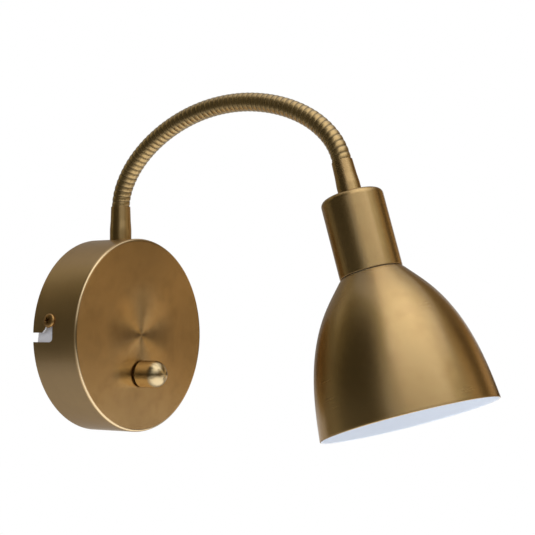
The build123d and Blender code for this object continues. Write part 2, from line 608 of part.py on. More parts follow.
with BuildPart() as base_lock_nut:
    with BuildSketch(stem_plane(base_nut_top - LOCK_NUT_HEIGHT)):
        RegularPolygon(LOCK_NUT_FLATS / 2, 6, major_radius=False)
        Circle(NIPPLE_RADIUS + THREAD_GAP, mode=Mode.SUBTRACT)
    extrude(amount=LOCK_NUT_HEIGHT)
base_lock_nut.part.label = "base_lock_nut"

with BuildPart() as base_nipple:
    with BuildSketch(stem_plane(base_nipple_foot)):
        Circle(NIPPLE_RADIUS)
        Circle(NIPPLE_BORE, mode=Mode.SUBTRACT)
    extrude(amount=CANOPY_RADIUS + sleeve_thread - base_nipple_foot)
base_nipple.part.label = "base_nipple"

# ---------------------------------------------------------------------------- gooseneck
def rib_circles(start, end):
    """(distance, radius) of the circles of every rib from start to end: four to a rib."""
    crest = RIB_CREST * RIB_PITCH / 2
    foot = RIB_FOOT * RIB_PITCH / 2
    circles = [(start, HOSE_VALLEY_RADIUS)]
    rib = round(start / RIB_PITCH) + 1
    while (rib + 0.5) * RIB_PITCH < end + 0.01:
        centre = rib * RIB_PITCH
        circles.append((centre - foot, HOSE_VALLEY_RADIUS))
        circles.append((centre - crest, HOSE_RADIUS))
        circles.append((centre + crest, HOSE_RADIUS))
        circles.append((centre + foot, HOSE_VALLEY_RADIUS))
        rib += 1
    circles.append((end, HOSE_VALLEY_RADIUS))
    return circles


def link_plane(index, distance):
    """The plane across a link at this distance; the neck's two ends run on straight."""
    if distance < 0 or distance > LINK_LENGTH:
        past = distance if distance < 0 else distance - LINK_LENGTH
        end = index if distance < 0 else index + 1
        tail = neck_plane(link_starts[end], link_headings[end])
        return neck_plane(tail.origin + tail.z_dir * past, link_headings[end])
    point, heading = arc_point(link_starts[index], link_headings[index], link_turn(index), distance)
    return neck_plane(point, heading)


def smooth_circles(index, start, end, radius):
    """Round faces of one radius along a link, from start to end."""
    steps = 10
    return [circle_on(link_plane(index, start + (end - start) * step / steps), radius)
            for step in range(steps + 1)]


hose_links = []
for index in range(LINKS):
    first = index == 0
    last = index == LINKS - 1
    start = -BASE_TAIL if first else 0
    end = LINK_LENGTH + HEAD_TAIL if last else LINK_LENGTH
    with BuildPart() as hose_link:
        ribs = [circle_on(link_plane(index, distance), radius) for distance, radius in rib_circles(start, end)]
        loft(ribs, ruled=True)
        if not last:
            with Locations(link_starts[index + 1]):
                Sphere(HOSE_RADIUS)
        loft(smooth_circles(index, start - 1, end + HOSE_RADIUS + 1, HOSE_BORE), ruled=True,
             mode=Mode.SUBTRACT)
        if not first:
            with Locations(link_starts[index]):
                Sphere(SOCKET_RADIUS, mode=Mode.SUBTRACT)
    hose_link.part.label = f"hose_link_{index + 1:02d}"
    hose_links.append(hose_link)

# ----------------------------------------------------------------------------- the head
# places along the head's axis, measured down from the cup's top
shade_top = CUP_LENGTH + CUP_SHADE_GAP
holder_start = CUP_WALL + LOCK_NUT_HEIGHT + HOLDER_NUT_GAP
holder_end = holder_start + HOLDER_LENGTH
insert_start = holder_start + HOLDER_TOP + HOLDER_ROOM_DEPTH
insert_end = insert_start + INSERT_THICKNESS
shell_seat_radius = SHELL_RADIUS + SHELL_ROOM
bulb_tip = insert_end + CONTACT_STANDOUT


def slope_vector(slope):
    """The direction, in the half section, of an outline at this angle from the axis."""
    return (sin(radians(slope)), cos(radians(slope)))


with BuildPart() as head_sleeve:
    sleeve_foot = head_plane(0)
    lathe(Plane(origin=sleeve_foot.origin, x_dir=sleeve_foot.x_dir, z_dir=-sleeve_foot.z_dir),
          sleeve_outline(foot=0))
head_sleeve.part.label = "head_sleeve"

with BuildPart() as head_nipple:
    with BuildSketch(head_plane(-sleeve_thread)):
        Circle(NIPPLE_RADIUS)
        Circle(NIPPLE_BORE, mode=Mode.SUBTRACT)
    extrude(amount=sleeve_thread + holder_start + HOLDER_TOP)
head_nipple.part.label = "head_nipple"

with BuildPart() as head_lock_nut:
    with BuildSketch(head_plane(CUP_WALL)):
        RegularPolygon(LOCK_NUT_FLATS / 2, 6, major_radius=False)
        Circle(NIPPLE_RADIUS + THREAD_GAP, mode=Mode.SUBTRACT)
    extrude(amount=LOCK_NUT_HEIGHT)
head_lock_nut.part.label = "head_lock_nut"

with BuildPart() as holder_cup:
    head_axis = Axis(CUP_TOP, HEAD_ALONG)
    with BuildSketch(head_plane(0)):
        Circle(CUP_RADIUS)
    extrude(amount=CUP_LENGTH)
    fillet(holder_cup.edges().sort_by(head_axis)[0], CUP_EDGE_RADIUS)
    offset(amount=-CUP_WALL, openings=holder_cup.faces().sort_by(head_axis)[-1])
    with BuildSketch(head_plane(0)):
        Circle(NIPPLE_RADIUS + THREAD_GAP)
    extrude(amount=CUP_WALL, mode=Mode.SUBTRACT)
holder_cup.part.label = "holder_cup"

# E14 lampholder: a threaded insulating body, a ceramic insert, contacts and a screw shell
with BuildPart() as holder_body:
    lathe(head_plane(0), (
        (NIPPLE_RADIUS + THREAD_GAP, holder_start),
        (HOLDER_RADIUS, holder_start),
        (HOLDER_RADIUS, shade_top - HOLDER_FLANGE_THICKNESS),
        (HOLDER_FLANGE_RADIUS, shade_top - HOLDER_FLANGE_THICKNESS),
        (HOLDER_FLANGE_RADIUS, shade_top),
        (HOLDER_RADIUS, shade_top),
        (HOLDER_RADIUS, holder_end),
        (shell_seat_radius, holder_end),
        (shell_seat_radius, insert_end),
        (HOLDER_ROOM, insert_end),
        (HOLDER_ROOM, holder_start + HOLDER_TOP),
        (NIPPLE_RADIUS + THREAD_GAP, holder_start + HOLDER_TOP),
    ))
holder_body.part.label = "holder_body"

with BuildPart() as holder_insert:
    with BuildSketch(head_plane(insert_start)):
        Circle(HOLDER_ROOM - THREAD_GAP)
        Circle(CONTACT_PIN_RADIUS + THREAD_GAP, mode=Mode.SUBTRACT)
        with Locations((TERMINAL_OFFSET, 0)):
            Circle(CONTACT_PIN_RADIUS + THREAD_GAP, mode=Mode.SUBTRACT)
    extrude(amount=INSERT_THICKNESS)
holder_insert.part.label = "holder_insert"

with BuildPart() as holder_contacts:
    for across, up in ((-TERMINAL_OFFSET, 0), (TERMINAL_OFFSET, 0), (0, TERMINAL_OFFSET)):
        with BuildSketch(head_plane(insert_start - HOLDER_TERMINAL_HEIGHT)):
            with Locations((across, up)):
                Rectangle(HOLDER_TERMINAL_WIDTH, HOLDER_TERMINAL_WIDTH)
        extrude(amount=HOLDER_TERMINAL_HEIGHT)
    # strap from the live terminal to the centre pin that the bulb's tip presses on
    with BuildSketch(head_plane(insert_start - CONTACT_STRAP)):
        with Locations((-TERMINAL_OFFSET / 2, 0)):
            Rectangle(TERMINAL_OFFSET + CONTACT_PIN_RADIUS, 2 * CONTACT_PIN_RADIUS)
    extrude(amount=CONTACT_STRAP)
    with BuildSketch(head_plane(insert_start - CONTACT_STRAP)):
        Circle(CONTACT_PIN_RADIUS)
    extrude(amount=bulb_tip - insert_start + CONTACT_STRAP)
    with BuildSketch(head_plane(insert_start)):
        with Locations((TERMINAL_OFFSET, 0)):
            Circle(CONTACT_PIN_RADIUS)
    extrude(amount=INSERT_THICKNESS)
holder_contacts.part.label = "holder_contacts"

with BuildPart() as screw_shell:
    with BuildSketch(head_plane(insert_end)):
        Circle(SHELL_RADIUS)
        Circle(SHELL_RADIUS - SHELL_WALL, mode=Mode.SUBTRACT)
    extrude(amount=holder_end - insert_end - SHELL_SETBACK)
screw_shell.part.label = "screw_shell"

with BuildPart() as shade_ring:
    with BuildSketch(head_plane(shade_top + SHADE_WALL)):
        Circle(SHADE_RING_RADIUS)
        Circle(HOLDER_RADIUS + THREAD_GAP, mode=Mode.SUBTRACT)
    extrude(amount=SHADE_RING_HEIGHT)
    ring_rim = shade_ring.edges().group_by(Axis(CUP_TOP, HEAD_ALONG))[-1].sort_by(SortBy.RADIUS)[-1]
    fillet(ring_rim, SHADE_RING_EDGE)
shade_ring.part.label = "shade_ring"

with BuildPart() as lampshade:
    bell_top = head_plane(shade_top)
    with BuildSketch(Plane(origin=bell_top.origin, x_dir=bell_top.x_dir, z_dir=-bell_top.y_dir)) as bell:
        with BuildLine():
            top = Line((HOLDER_RADIUS + THREAD_GAP, 0), (CUP_RADIUS, 0))
            outside = Spline(
                top @ 1,
                (SHADE_SHOULDER_RADIUS, SHADE_SHOULDER),
                (SHADE_MIDDLE_RADIUS, SHADE_MIDDLE),
                (SHADE_RIM_RADIUS, SHADE_LENGTH),
                tangents=(slope_vector(SHADE_TOP_SLOPE), slope_vector(SHADE_RIM_SLOPE)))
            inside = Spline(
                *[outside @ place + (outside % place).rotate(Axis.Z, 90) * SHADE_WALL
                  for place in (0, 0.15, 0.3, 0.5, 0.75, 1)],
                tangents=(slope_vector(SHADE_TOP_SLOPE), slope_vector(SHADE_RIM_SLOPE)))
            Line(outside @ 1, inside @ 1)
            Polyline(inside @ 0, (HOLDER_RADIUS + THREAD_GAP, SHADE_WALL), top @ 0)
        make_face()
    revolve(bell.sketch, axis=Axis(CUP_TOP, HEAD_ALONG))
lampshade.part.label = "lampshade"

# ------------------------------------------------------------------------- the E14 bulb
globe_centre = bulb_tip + BULB_LENGTH - BULB_RADIUS
cap_start = bulb_tip + BULB_TIP_LENGTH
cap_end = cap_start + BULB_CAP_LENGTH
globe_start = globe_centre - BULB_BASE_DROP
base_radius = sqrt(BULB_RADIUS ** 2 - BULB_BASE_DROP ** 2)
base_waist = cap_end + BULB_WAIST
globe_inside = sqrt((BULB_RADIUS - BULB_WALL) ** 2 - BULB_BASE_DROP ** 2)
board_ledge = globe_inside - BULB_LEDGE
skirt_radius = BULB_CAP_RADIUS - SHELL_WALL
cone_end = cap_start + BULB_CAP_CONE

with BuildPart() as bulb_tip_contact:
    with BuildSketch(head_plane(bulb_tip)):
        Circle(BULB_TIP_RADIUS)
    extrude(amount=BULB_TIP_LENGTH)
bulb_tip_contact.part.label = "bulb_tip_contact"

with BuildPart() as bulb_cap:
    lathe(head_plane(0), (
        (BULB_TIP_RADIUS, cap_start),
        (BULB_CAP_RADIUS, cone_end),
        (BULB_CAP_RADIUS, cap_end),
        (skirt_radius, cap_end),
        (skirt_radius, cone_end),
        (0, cap_start + BULB_CAP_GLASS),
        (0, cap_start),
    ))
bulb_cap.part.label = "bulb_cap"

with BuildPart() as bulb_base:
    lathe(head_plane(0), (
        (skirt_radius, cap_end - BULB_SKIRT),
        (skirt_radius, cap_end),
        (BULB_NECK_RADIUS, cap_end),
        (BULB_WAIST_RADIUS, base_waist),
        (base_radius, globe_start),
        (board_ledge, globe_start),
        (BULB_WAIST_RADIUS - 2 * BULB_WALL, base_waist),
        (skirt_radius - BULB_WALL, cap_end + BULB_WALL),
        (skirt_radius - BULB_WALL, cap_end - BULB_SKIRT),
    ))
bulb_base.part.label = "bulb_base"

with BuildPart() as bulb_board:
    with BuildSketch(head_plane(globe_start)):
        Circle(globe_inside - BULB_BOARD_GAP)
    extrude(amount=BULB_BOARD_THICKNESS)
bulb_board.part.label = "bulb_board"

with BuildPart() as bulb_globe:
    with Locations(head_plane(globe_centre)):
        Sphere(BULB_RADIUS)
        Sphere(BULB_RADIUS - BULB_WALL, mode=Mode.SUBTRACT)
    split(bisect_by=head_plane(globe_start), keep=Keep.TOP)
bulb_globe.part.label = "bulb_globe"

# --------------------------------------------------------------- flex and its cores
flex_foot = base_nipple_foot - FLEX_STRIP
flex_top = holder_start + HOLDER_TOP + FLEX_ENTRY

with BuildPart() as flex_lower:
    loft(smooth_circles(0, flex_foot - link_starts[0].Z, LINK_LENGTH, FLEX_RADIUS), ruled=True)
flex_lower.part.label = "flex_lower"

with BuildPart() as flex_upper:
    head_distance = LINK_LENGTH + BEND_STOP + SLEEVE_LENGTH
    loft(smooth_circles(LINKS - 1, SOCKET_RADIUS + FLEX_ENTRY, head_distance + flex_top, FLEX_RADIUS), ruled=True)
flex_upper.part.label = "flex_upper"

core_spots = [(CORE_PITCH * cos(radians(angle)), CORE_PITCH * sin(radians(angle))) for angle in (0, 120, 240)]
(neutral_x, neutral_y), (earth_x, earth_y), (switched_x, switched_y) = core_spots
dimmer_middle = FRONT_INSIDE - DIMMER_DEPTH / 2
dimmer_top = DIMMER_SIZE / 2 - DIMMER_DROP
tag_depth = PLATE_THICKNESS + CORE_RADIUS + WIRE_GAP
wire_routes = {
    "wire_neutral": (
        (neutral_x, neutral_y - STEM_DEPTH, flex_foot),
        (neutral_x, neutral_y - STEM_DEPTH, flex_foot - WIRE_DROP),
        (pole_columns[0], -pole_centre_depth, TERMINAL_HEIGHT / 2 + WIRE_RISE),
        (pole_columns[0], -pole_centre_depth, WIRE_GRIP),
    ),
    "wire_earth": (
        (earth_x, earth_y - STEM_DEPTH, flex_foot),
        (earth_x, earth_y - STEM_DEPTH, flex_foot - WIRE_DROP),
        (EARTH_SCREW_X, -tag_depth, TAG_REACH + WIRE_RISE),
        (EARTH_SCREW_X, -tag_depth, TAG_REACH),
    ),
    "wire_switched": (
        (switched_x, switched_y - STEM_DEPTH, flex_foot),
        (switched_x, switched_y - STEM_DEPTH, flex_foot - SWITCHED_DROP),
        (switched_x + SWITCHED_X, -dimmer_middle, dimmer_top + WIRE_RISE),
        (switched_x + SWITCHED_X, -dimmer_middle, dimmer_top),
    ),
    "wire_live": (
        (pole_columns[-1], -pole_centre_depth, -WIRE_GRIP),
        (pole_columns[-1], -pole_centre_depth, -TERMINAL_HEIGHT / 2 - WIRE_DROP),
        (DIMMER_SIZE / 2 + WIRE_DROP, -dimmer_middle, -DIMMER_DROP),
        (DIMMER_SIZE / 2, -dimmer_middle, -DIMMER_DROP),
    ),
}
wires = []
for wire_name, points in wire_routes.items():
    with BuildPart() as wire:
        with BuildLine() as route:
            FilletPolyline(*points, radius=WIRE_BEND)
        with BuildSketch(Plane(origin=route.line @ 0, z_dir=route.line % 0)):
            Circle(CORE_RADIUS)
        sweep()
    wire.part.label = wire_name
    wires.append(wire)

terminal_tops = ((-TERMINAL_OFFSET, 0), (TERMINAL_OFFSET, 0), (0, TERMINAL_OFFSET))
core_run = insert_start - HOLDER_TERMINAL_HEIGHT - flex_top
with BuildPart() as head_cores:
    for (start_x, start_y), (end_x, end_y) in zip((core_spots[2], core_spots[0], core_spots[1]), terminal_tops):
        flex_end = head_plane(flex_top)
        with BuildLine() as route:
            FilletPolyline(
                flex_end.from_local_coords((start_x, start_y, 0)),
                flex_end.from_local_coords((start_x, start_y, core_run / 3)),
                flex_end.from_local_coords((end_x, end_y, 2 * core_run / 3)),
                flex_end.from_local_coords((end_x, end_y, core_run)),
                radius=core_run / 8)
        with BuildSketch(Plane(origin=route.line @ 0, z_dir=route.line % 0)):
            Circle(CORE_RADIUS)
        sweep()
head_cores.part.label = "head_cores"

# ------------------------------------------------------------------------ written pieces
os.makedirs("parts", exist_ok=True)
pieces = [
    canopy_cover, wall_plate, canopy_screws, terminal_block, terminal_tubes, terminal_screws,
    earth_tag, earth_screw, dimmer_housing, dimmer_cover, dimmer_board, dimmer_bush,
    dimmer_washer, dimmer_nut, switch_slider, dimmer_shaft, shaft_clip, dimmer_knob,
    base_sleeve, base_washer, base_lock_nut, base_nipple, *hose_links, head_sleeve,
    head_nipple, head_lock_nut, holder_cup, holder_body, holder_insert, holder_contacts,
    screw_shell, shade_ring, lampshade, bulb_tip_contact, bulb_cap, bulb_base, bulb_board,
    bulb_globe, flex_lower, flex_upper, *wires, head_cores,
]
for piece in pieces:
    export_step(piece.part, f"parts/{piece.part.label}.step")
print(len(pieces), "pieces")
for index in range(1, LINKS):
    point = link_starts[index]
    print(f"joint {index}: y {point.Y:.3f} z {point.Z:.3f} heading {link_headings[index]:.3f}")
print(f"head: y {CUP_TOP.Y:.3f} z {CUP_TOP.Z:.3f} heading {HEAD_HEADING:.3f}")
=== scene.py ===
"""A bendable wall reading lamp in antique brass, dressed piece by piece over its mechanical frame."""

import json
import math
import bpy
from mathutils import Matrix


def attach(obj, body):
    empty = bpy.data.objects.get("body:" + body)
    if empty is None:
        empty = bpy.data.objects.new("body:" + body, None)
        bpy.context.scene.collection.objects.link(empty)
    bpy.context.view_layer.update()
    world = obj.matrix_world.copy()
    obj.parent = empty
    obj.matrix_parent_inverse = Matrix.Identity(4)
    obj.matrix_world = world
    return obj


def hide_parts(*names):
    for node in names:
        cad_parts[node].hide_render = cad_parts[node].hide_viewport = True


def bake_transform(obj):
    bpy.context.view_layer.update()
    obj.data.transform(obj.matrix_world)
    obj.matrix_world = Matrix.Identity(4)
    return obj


bl_info = {
    "name": "Gooseneck Wall Lamp",
    "version": (1, 0, 0),
    "blender": (4, 5, 0),
    "location": "3D View > Sidebar > Wall Lamp",
    "description": "Dresses a bendable wall reading lamp in brass, enamel and its fittings",
    "category": "Object",
}

import bmesh
import bpy
from mathutils import Matrix, Vector

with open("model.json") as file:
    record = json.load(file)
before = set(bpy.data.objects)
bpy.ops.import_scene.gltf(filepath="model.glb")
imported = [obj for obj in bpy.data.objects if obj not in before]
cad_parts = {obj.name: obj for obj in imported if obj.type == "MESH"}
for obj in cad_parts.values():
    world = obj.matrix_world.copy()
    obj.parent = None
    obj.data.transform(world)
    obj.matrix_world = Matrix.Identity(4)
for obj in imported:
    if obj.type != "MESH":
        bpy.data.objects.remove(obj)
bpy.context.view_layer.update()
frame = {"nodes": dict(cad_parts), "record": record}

MM = 0.001
TAU = 2 * math.pi

# --------------------------------------------------- the lamp's places, in millimetres
CANOPY_RADIUS = 55.0
CANOPY_DEPTH = 31.5
STEM_DEPTH = CANOPY_DEPTH / 2
KNOB_DROP = 22.2
KNOB_GAP = 1.0
KNOB_RADIUS = 7.75
KNOB_BARREL = 8.3
DIMMER_HOLE = 3.55
SCREW_HEIGHT = 8.3
SCREW_DEPTH = 11.9
SLOT_WIDTH = 5.2
SLOT_DROP = 9.2
SLOT_BEND = 2.4
SLOT_CHAMFER = 2.2
SCREW_HEAD = 4.0
SCREW_SHANK = 2.0
SLEEVE_LENGTH = 19.0
STEM_HOLE = 5.05
LINKS = 12
RIBS_PER_LINK = 5
RIB_PITCH = 3.17
LINK_LENGTH = RIBS_PER_LINK * RIB_PITCH
NECK_LENGTH = LINKS * LINK_LENGTH
HOSE_TUCK = 6.0
STEPS_PER_TURN = 12
# Joints whose stretch would be bound from its far end, as bending it from its near end tears it off with every joint at
# its least; the neck step sets these stretches like the others
FAR_END_FIRST = (5,)
SHEET = 0.8
CUP_RADIUS = 16.45
CUP_LENGTH = 42.0
SHADE_TOP = 42.3
SHADE_HOLE = 13.05
# (radius, drop below the cup) where the bell's curve passes, from its shoulder to its rim
BELL = ((CUP_RADIUS, 0.0), (27.7, 13.7), (36.9, 30.5), (46.4, 77.0))
RING_RADIUS = 15.55


def link_turn(index):
    """How far one link of the neck turns, in radians: least at the crown, most at both ends."""
    place = (2 * index + 1) / LINKS - 1
    return math.radians(8.48 + 26.26 * abs(place) ** 4 - 0.41 * place)


def neck_joints():
    """Centre (y, z) in millimetres and heading of every joint between links, both ends included."""
    joints = [(-STEM_DEPTH, CANOPY_RADIUS + SLEEVE_LENGTH - 2.0, 0.0)]
    for index in range(LINKS):
        y, z, heading = joints[-1]
        bend = link_turn(index) / LINK_LENGTH
        onward = heading + bend * LINK_LENGTH
        y += (math.cos(onward) - math.cos(heading)) / bend
        z += (math.sin(onward) - math.sin(heading)) / bend
        joints.append((y, z, onward))
    return joints


JOINTS = neck_joints()


def neck_point(distance):
    """The neck's centre at a distance in millimetres from its start; its two ends run on straight."""
    index = min(max(int(distance // LINK_LENGTH), 0), LINKS - 1)
    y, z, heading = JOINTS[index]
    run = distance - index * LINK_LENGTH
    if distance < 0 or distance > NECK_LENGTH:
        y, z, heading = JOINTS[0] if distance < 0 else JOINTS[-1]
        run = distance if distance < 0 else distance - NECK_LENGTH
        return Vector((0, y - math.sin(heading) * run, z + math.cos(heading) * run))
    bend = link_turn(index) / LINK_LENGTH
    onward = heading + bend * run
    y += (math.cos(onward) - math.cos(heading)) / bend
    z += (math.sin(onward) - math.sin(heading)) / bend
    return Vector((0, y, z))


def upright(origin, along):
    """The frame of a turned piece: its axis along this direction, from this point in millimetres."""
    along = Vector(along).normalized()
    across = Vector((1, 0, 0))
    turn = Matrix((across, along.cross(across), along)).transposed().to_4x4()
    return Matrix.Translation(Vector(origin) * MM) @ turn


HEAD_HEADING = JOINTS[-1][2]
HEAD_ALONG = Vector((0, -math.sin(HEAD_HEADING), math.cos(HEAD_HEADING)))
CUP_TOP = neck_point(NECK_LENGTH + 1.0 + SLEEVE_LENGTH)

WALL = upright((0, 0, 0), (0, -1, 0))
KNOB = upright((0, -CANOPY_DEPTH - KNOB_GAP, -KNOB_DROP), (0, -1, 0))
STEM = upright((0, -STEM_DEPTH, CANOPY_RADIUS), (0, 0, 1))
HEAD = upright(CUP_TOP, HEAD_ALONG)
HEAD_FOOT = upright(CUP_TOP, -HEAD_ALONG)


# ------------------------------------------------------------------------ node wiring
class Wire:
    """One socket of a node tree. Arithmetic on it adds the tree's Math nodes."""

    def __init__(self, bench, socket):
        self.bench = bench
        self.socket = socket

    def math(self, operation, *terms):
        return self.bench.node("ShaderNodeMath", {"operation": operation}, dict(enumerate(terms)))

    def __add__(self, other):
        return self.math("ADD", self, other)

    def __radd__(self, other):
        return self.math("ADD", other, self)

    def __sub__(self, other):
        return self.math("SUBTRACT", self, other)

    def __rsub__(self, other):
        return self.math("SUBTRACT", other, self)

    def __mul__(self, other):
        return self.math("MULTIPLY", self, other)

    def __rmul__(self, other):
        return self.math("MULTIPLY", other, self)

    def __truediv__(self, other):
        return self.math("DIVIDE", self, other)

    def __rtruediv__(self, other):
        return self.math("DIVIDE", other, self)

    def __pow__(self, other):
        return self.math("POWER", self, other)

    def sine(self):
        return self.math("SINE", self)

    def cosine(self):
        return self.math("COSINE", self)

    def fraction(self):
        return self.math("FRACT", self)

    def above(self, limit):
        return self.math("GREATER_THAN", self, limit)

    def at_most(self, limit):
        return self.math("MINIMUM", self, limit)

    def at_least(self, limit):
        return self.math("MAXIMUM", self, limit)

    def ease(self, low, high):
        """0 below low, 1 above high and a smooth step between them."""
        settings = {"interpolation_type": "SMOOTHSTEP"}
        return self.bench.node("ShaderNodeMapRange", settings, {"Value": self, 1: low, 2: high, 3: 0.0, 4: 1.0})

    def other(self, name):
        """Another output of the node that this socket is on."""
        return Wire(self.bench, self.socket.node.outputs[name])


class Bench:
    """A node tree that is being built."""

    def __init__(self, tree):
        self.tree = tree

    def node(self, kind, settings=None, inputs=None, output=0):
        """Adds a node, sets its settings first and then its sockets' values or links."""
        node = self.tree.nodes.new(kind)
        for name, value in (settings or {}).items():
            if name == "stops":
                self.ramp(node.color_ramp, value)
            else:
                setattr(node, name, value)
        for key, value in (inputs or {}).items():
            self.feed(node.inputs[key], value)
        return Wire(self, node.outputs[output]) if node.outputs else node

    def feed(self, socket, value):
        if isinstance(value, Wire):
            self.tree.links.new(value.socket, socket)
        elif value is not None:
            socket.default_value = value

    def ramp(self, ramp, stops):
        while len(ramp.elements) < len(stops):
            ramp.elements.new(0.5)
        for element, (place, colour) in zip(ramp.elements, stops):
            element.position = place
            element.color = (*colour, 1.0)

    def blend(self, mask, first, second):
        """One colour where the mask is 0 and the other where it is 1."""
        colours = {0: mask, 6: self.colour(first), 7: self.colour(second)}
        return self.node("ShaderNodeMix", {"data_type": "RGBA"}, colours, output=2)

    def tint(self, colour, amount):
        """A colour brought up or down by an amount, where 1 leaves it as it is."""
        grey = self.node("ShaderNodeCombineColor", None, {0: amount, 1: amount, 2: amount})
        sockets = {0: 1.0, 6: self.colour(colour), 7: grey}
        return self.node("ShaderNodeMix", {"data_type": "RGBA", "blend_type": "MULTIPLY"}, sockets, output=2)

    def colour(self, value):
        return value if isinstance(value, Wire) else (*value[:3], 1.0)

    def own_place(self):
        """Where a point lies on the piece's own axes, in metres."""
        return self.node("ShaderNodeTexCoord", output=3)

    def stored(self, name, kind="FLOAT"):
        """What the geometry carries under a name."""
        return self.node("GeometryNodeInputNamedAttribute", {"data_type": kind}, {"Name": name})

    def vector(self, x, y, z):
        return self.node("ShaderNodeCombineXYZ", None, {0: x, 1: y, 2: z})

    def split(self, vector):
        """A vector's three parts."""
        x = self.node("ShaderNodeSeparateXYZ", None, {0: vector})
        return x, x.other("Y"), x.other("Z")

    def vectors(self, operation, *terms, output=0):
        return self.node("ShaderNodeVectorMath", {"operation": operation}, dict(enumerate(terms)), output)

    def scaled(self, vector, amount):
        return self.node("ShaderNodeVectorMath", {"operation": "SCALE"}, {0: vector, "Scale": amount})

    def noise(self, vector, scale, detail=2.0, roughness=0.5, w=None):
        """Noise from 0 to 1 with 0.5 as its middle."""
        settings = {"noise_dimensions": "3D" if w is None else "4D"}
        inputs = {"Vector": vector, "Scale": scale, "Detail": detail, "Roughness": roughness}
        if w is not None:
            inputs["W"] = w
        return self.node("ShaderNodeTexNoise", settings, inputs)


def linear(red, green, blue):
    """A colour as it is seen, each part from 0 to 255, in the scene's linear values."""
    parts = [part / 255 for part in (red, green, blue)]
    return tuple(part / 12.92 if part <= 0.04045 else ((part + 0.055) / 1.055) ** 2.4 for part in parts)


# ----------------------------------------------------------------------- the finishes
def new_finish(name):
    """An empty material and the bench for its nodes."""
    finish = bpy.data.materials.new(name)
    finish.use_nodes = True
    finish.node_tree.nodes.clear()
    return finish, Bench(finish.node_tree)


def shade_with(bench, **sockets):
    """The finish's shader: a Principled BSDF with these sockets, an underscore for each space in a name."""
    inputs = {name.replace("_", " "): value for name, value in sockets.items()}
    shader = bench.node("ShaderNodeBsdfPrincipled", None, inputs)
    bench.node("ShaderNodeOutputMaterial", None, {"Surface": shader})


def object_place(bench, frame_of_piece):
    """Object coordinates in a turned piece's own frame, in millimetres, its axis along z."""
    inverse = frame_of_piece.inverted()
    place, turn, _ = inverse.decompose()
    coordinates = bench.own_place()
    inputs = {"Vector": coordinates, "Location": place / MM, "Rotation": turn.to_euler(), "Scale": (1 / MM,) * 3}
    return bench.node("ShaderNodeMapping", None, inputs)


def around(bench, place):
    """Radius, height, and the cosine and sine of the angle about a turned piece's axis."""
    x, y, height = bench.split(place)
    radius = (x * x + y * y + 0.0001) ** 0.5
    return radius, height, x / radius, y / radius


def brush_directions(bench, frame_of_piece):
    """The surface's own direction, and the one across brush lines that run round the piece's axis."""
    coordinates = bench.node("ShaderNodeTexCoord")
    surface, place = coordinates.other("Normal"), coordinates.other("Object")
    axis = frame_of_piece.to_3x3() @ Vector((0, 0, 1))
    arm = bench.vectors("SUBTRACT", place, frame_of_piece.translation)
    round_axis = bench.vectors("NORMALIZE", bench.vectors("CROSS_PRODUCT", axis, arm))
    return surface, bench.vectors("CROSS_PRODUCT", surface, round_axis)


def tipped(bench, surface, across, slope):
    """The surface's direction tipped by this slope across the brush lines."""
    lean = bench.vectors("NORMALIZE", bench.vectors("ADD", surface, bench.scaled(across, slope)))
    settings = {"vector_type": "NORMAL", "convert_from": "OBJECT", "convert_to": "WORLD"}
    return bench.node("ShaderNodeVectorTransform", settings, {"Vector": lean})


def dent(bench, height, distance, strength=1.0, normal=None):
    """A normal from a height that is given as a share of this depth in millimetres."""
    inputs = {"Height": height, "Distance": distance * MM, "Strength": strength, "Normal": normal}
    return bench.node("ShaderNodeBump", None, inputs)


# How the fine grooves of a brushed surface lean, each slope with its share of the surface
GROOVES = ((0.0, 0.24), (0.1, 0.17), (-0.1, 0.17), (0.21, 0.13), (-0.21, 0.13), (0.34, 0.08), (-0.34, 0.08))
BRASS_EDGE_TINT = (0.62, 0.48, 0.34, 1.0)
LACQUER_IOR = 1.45


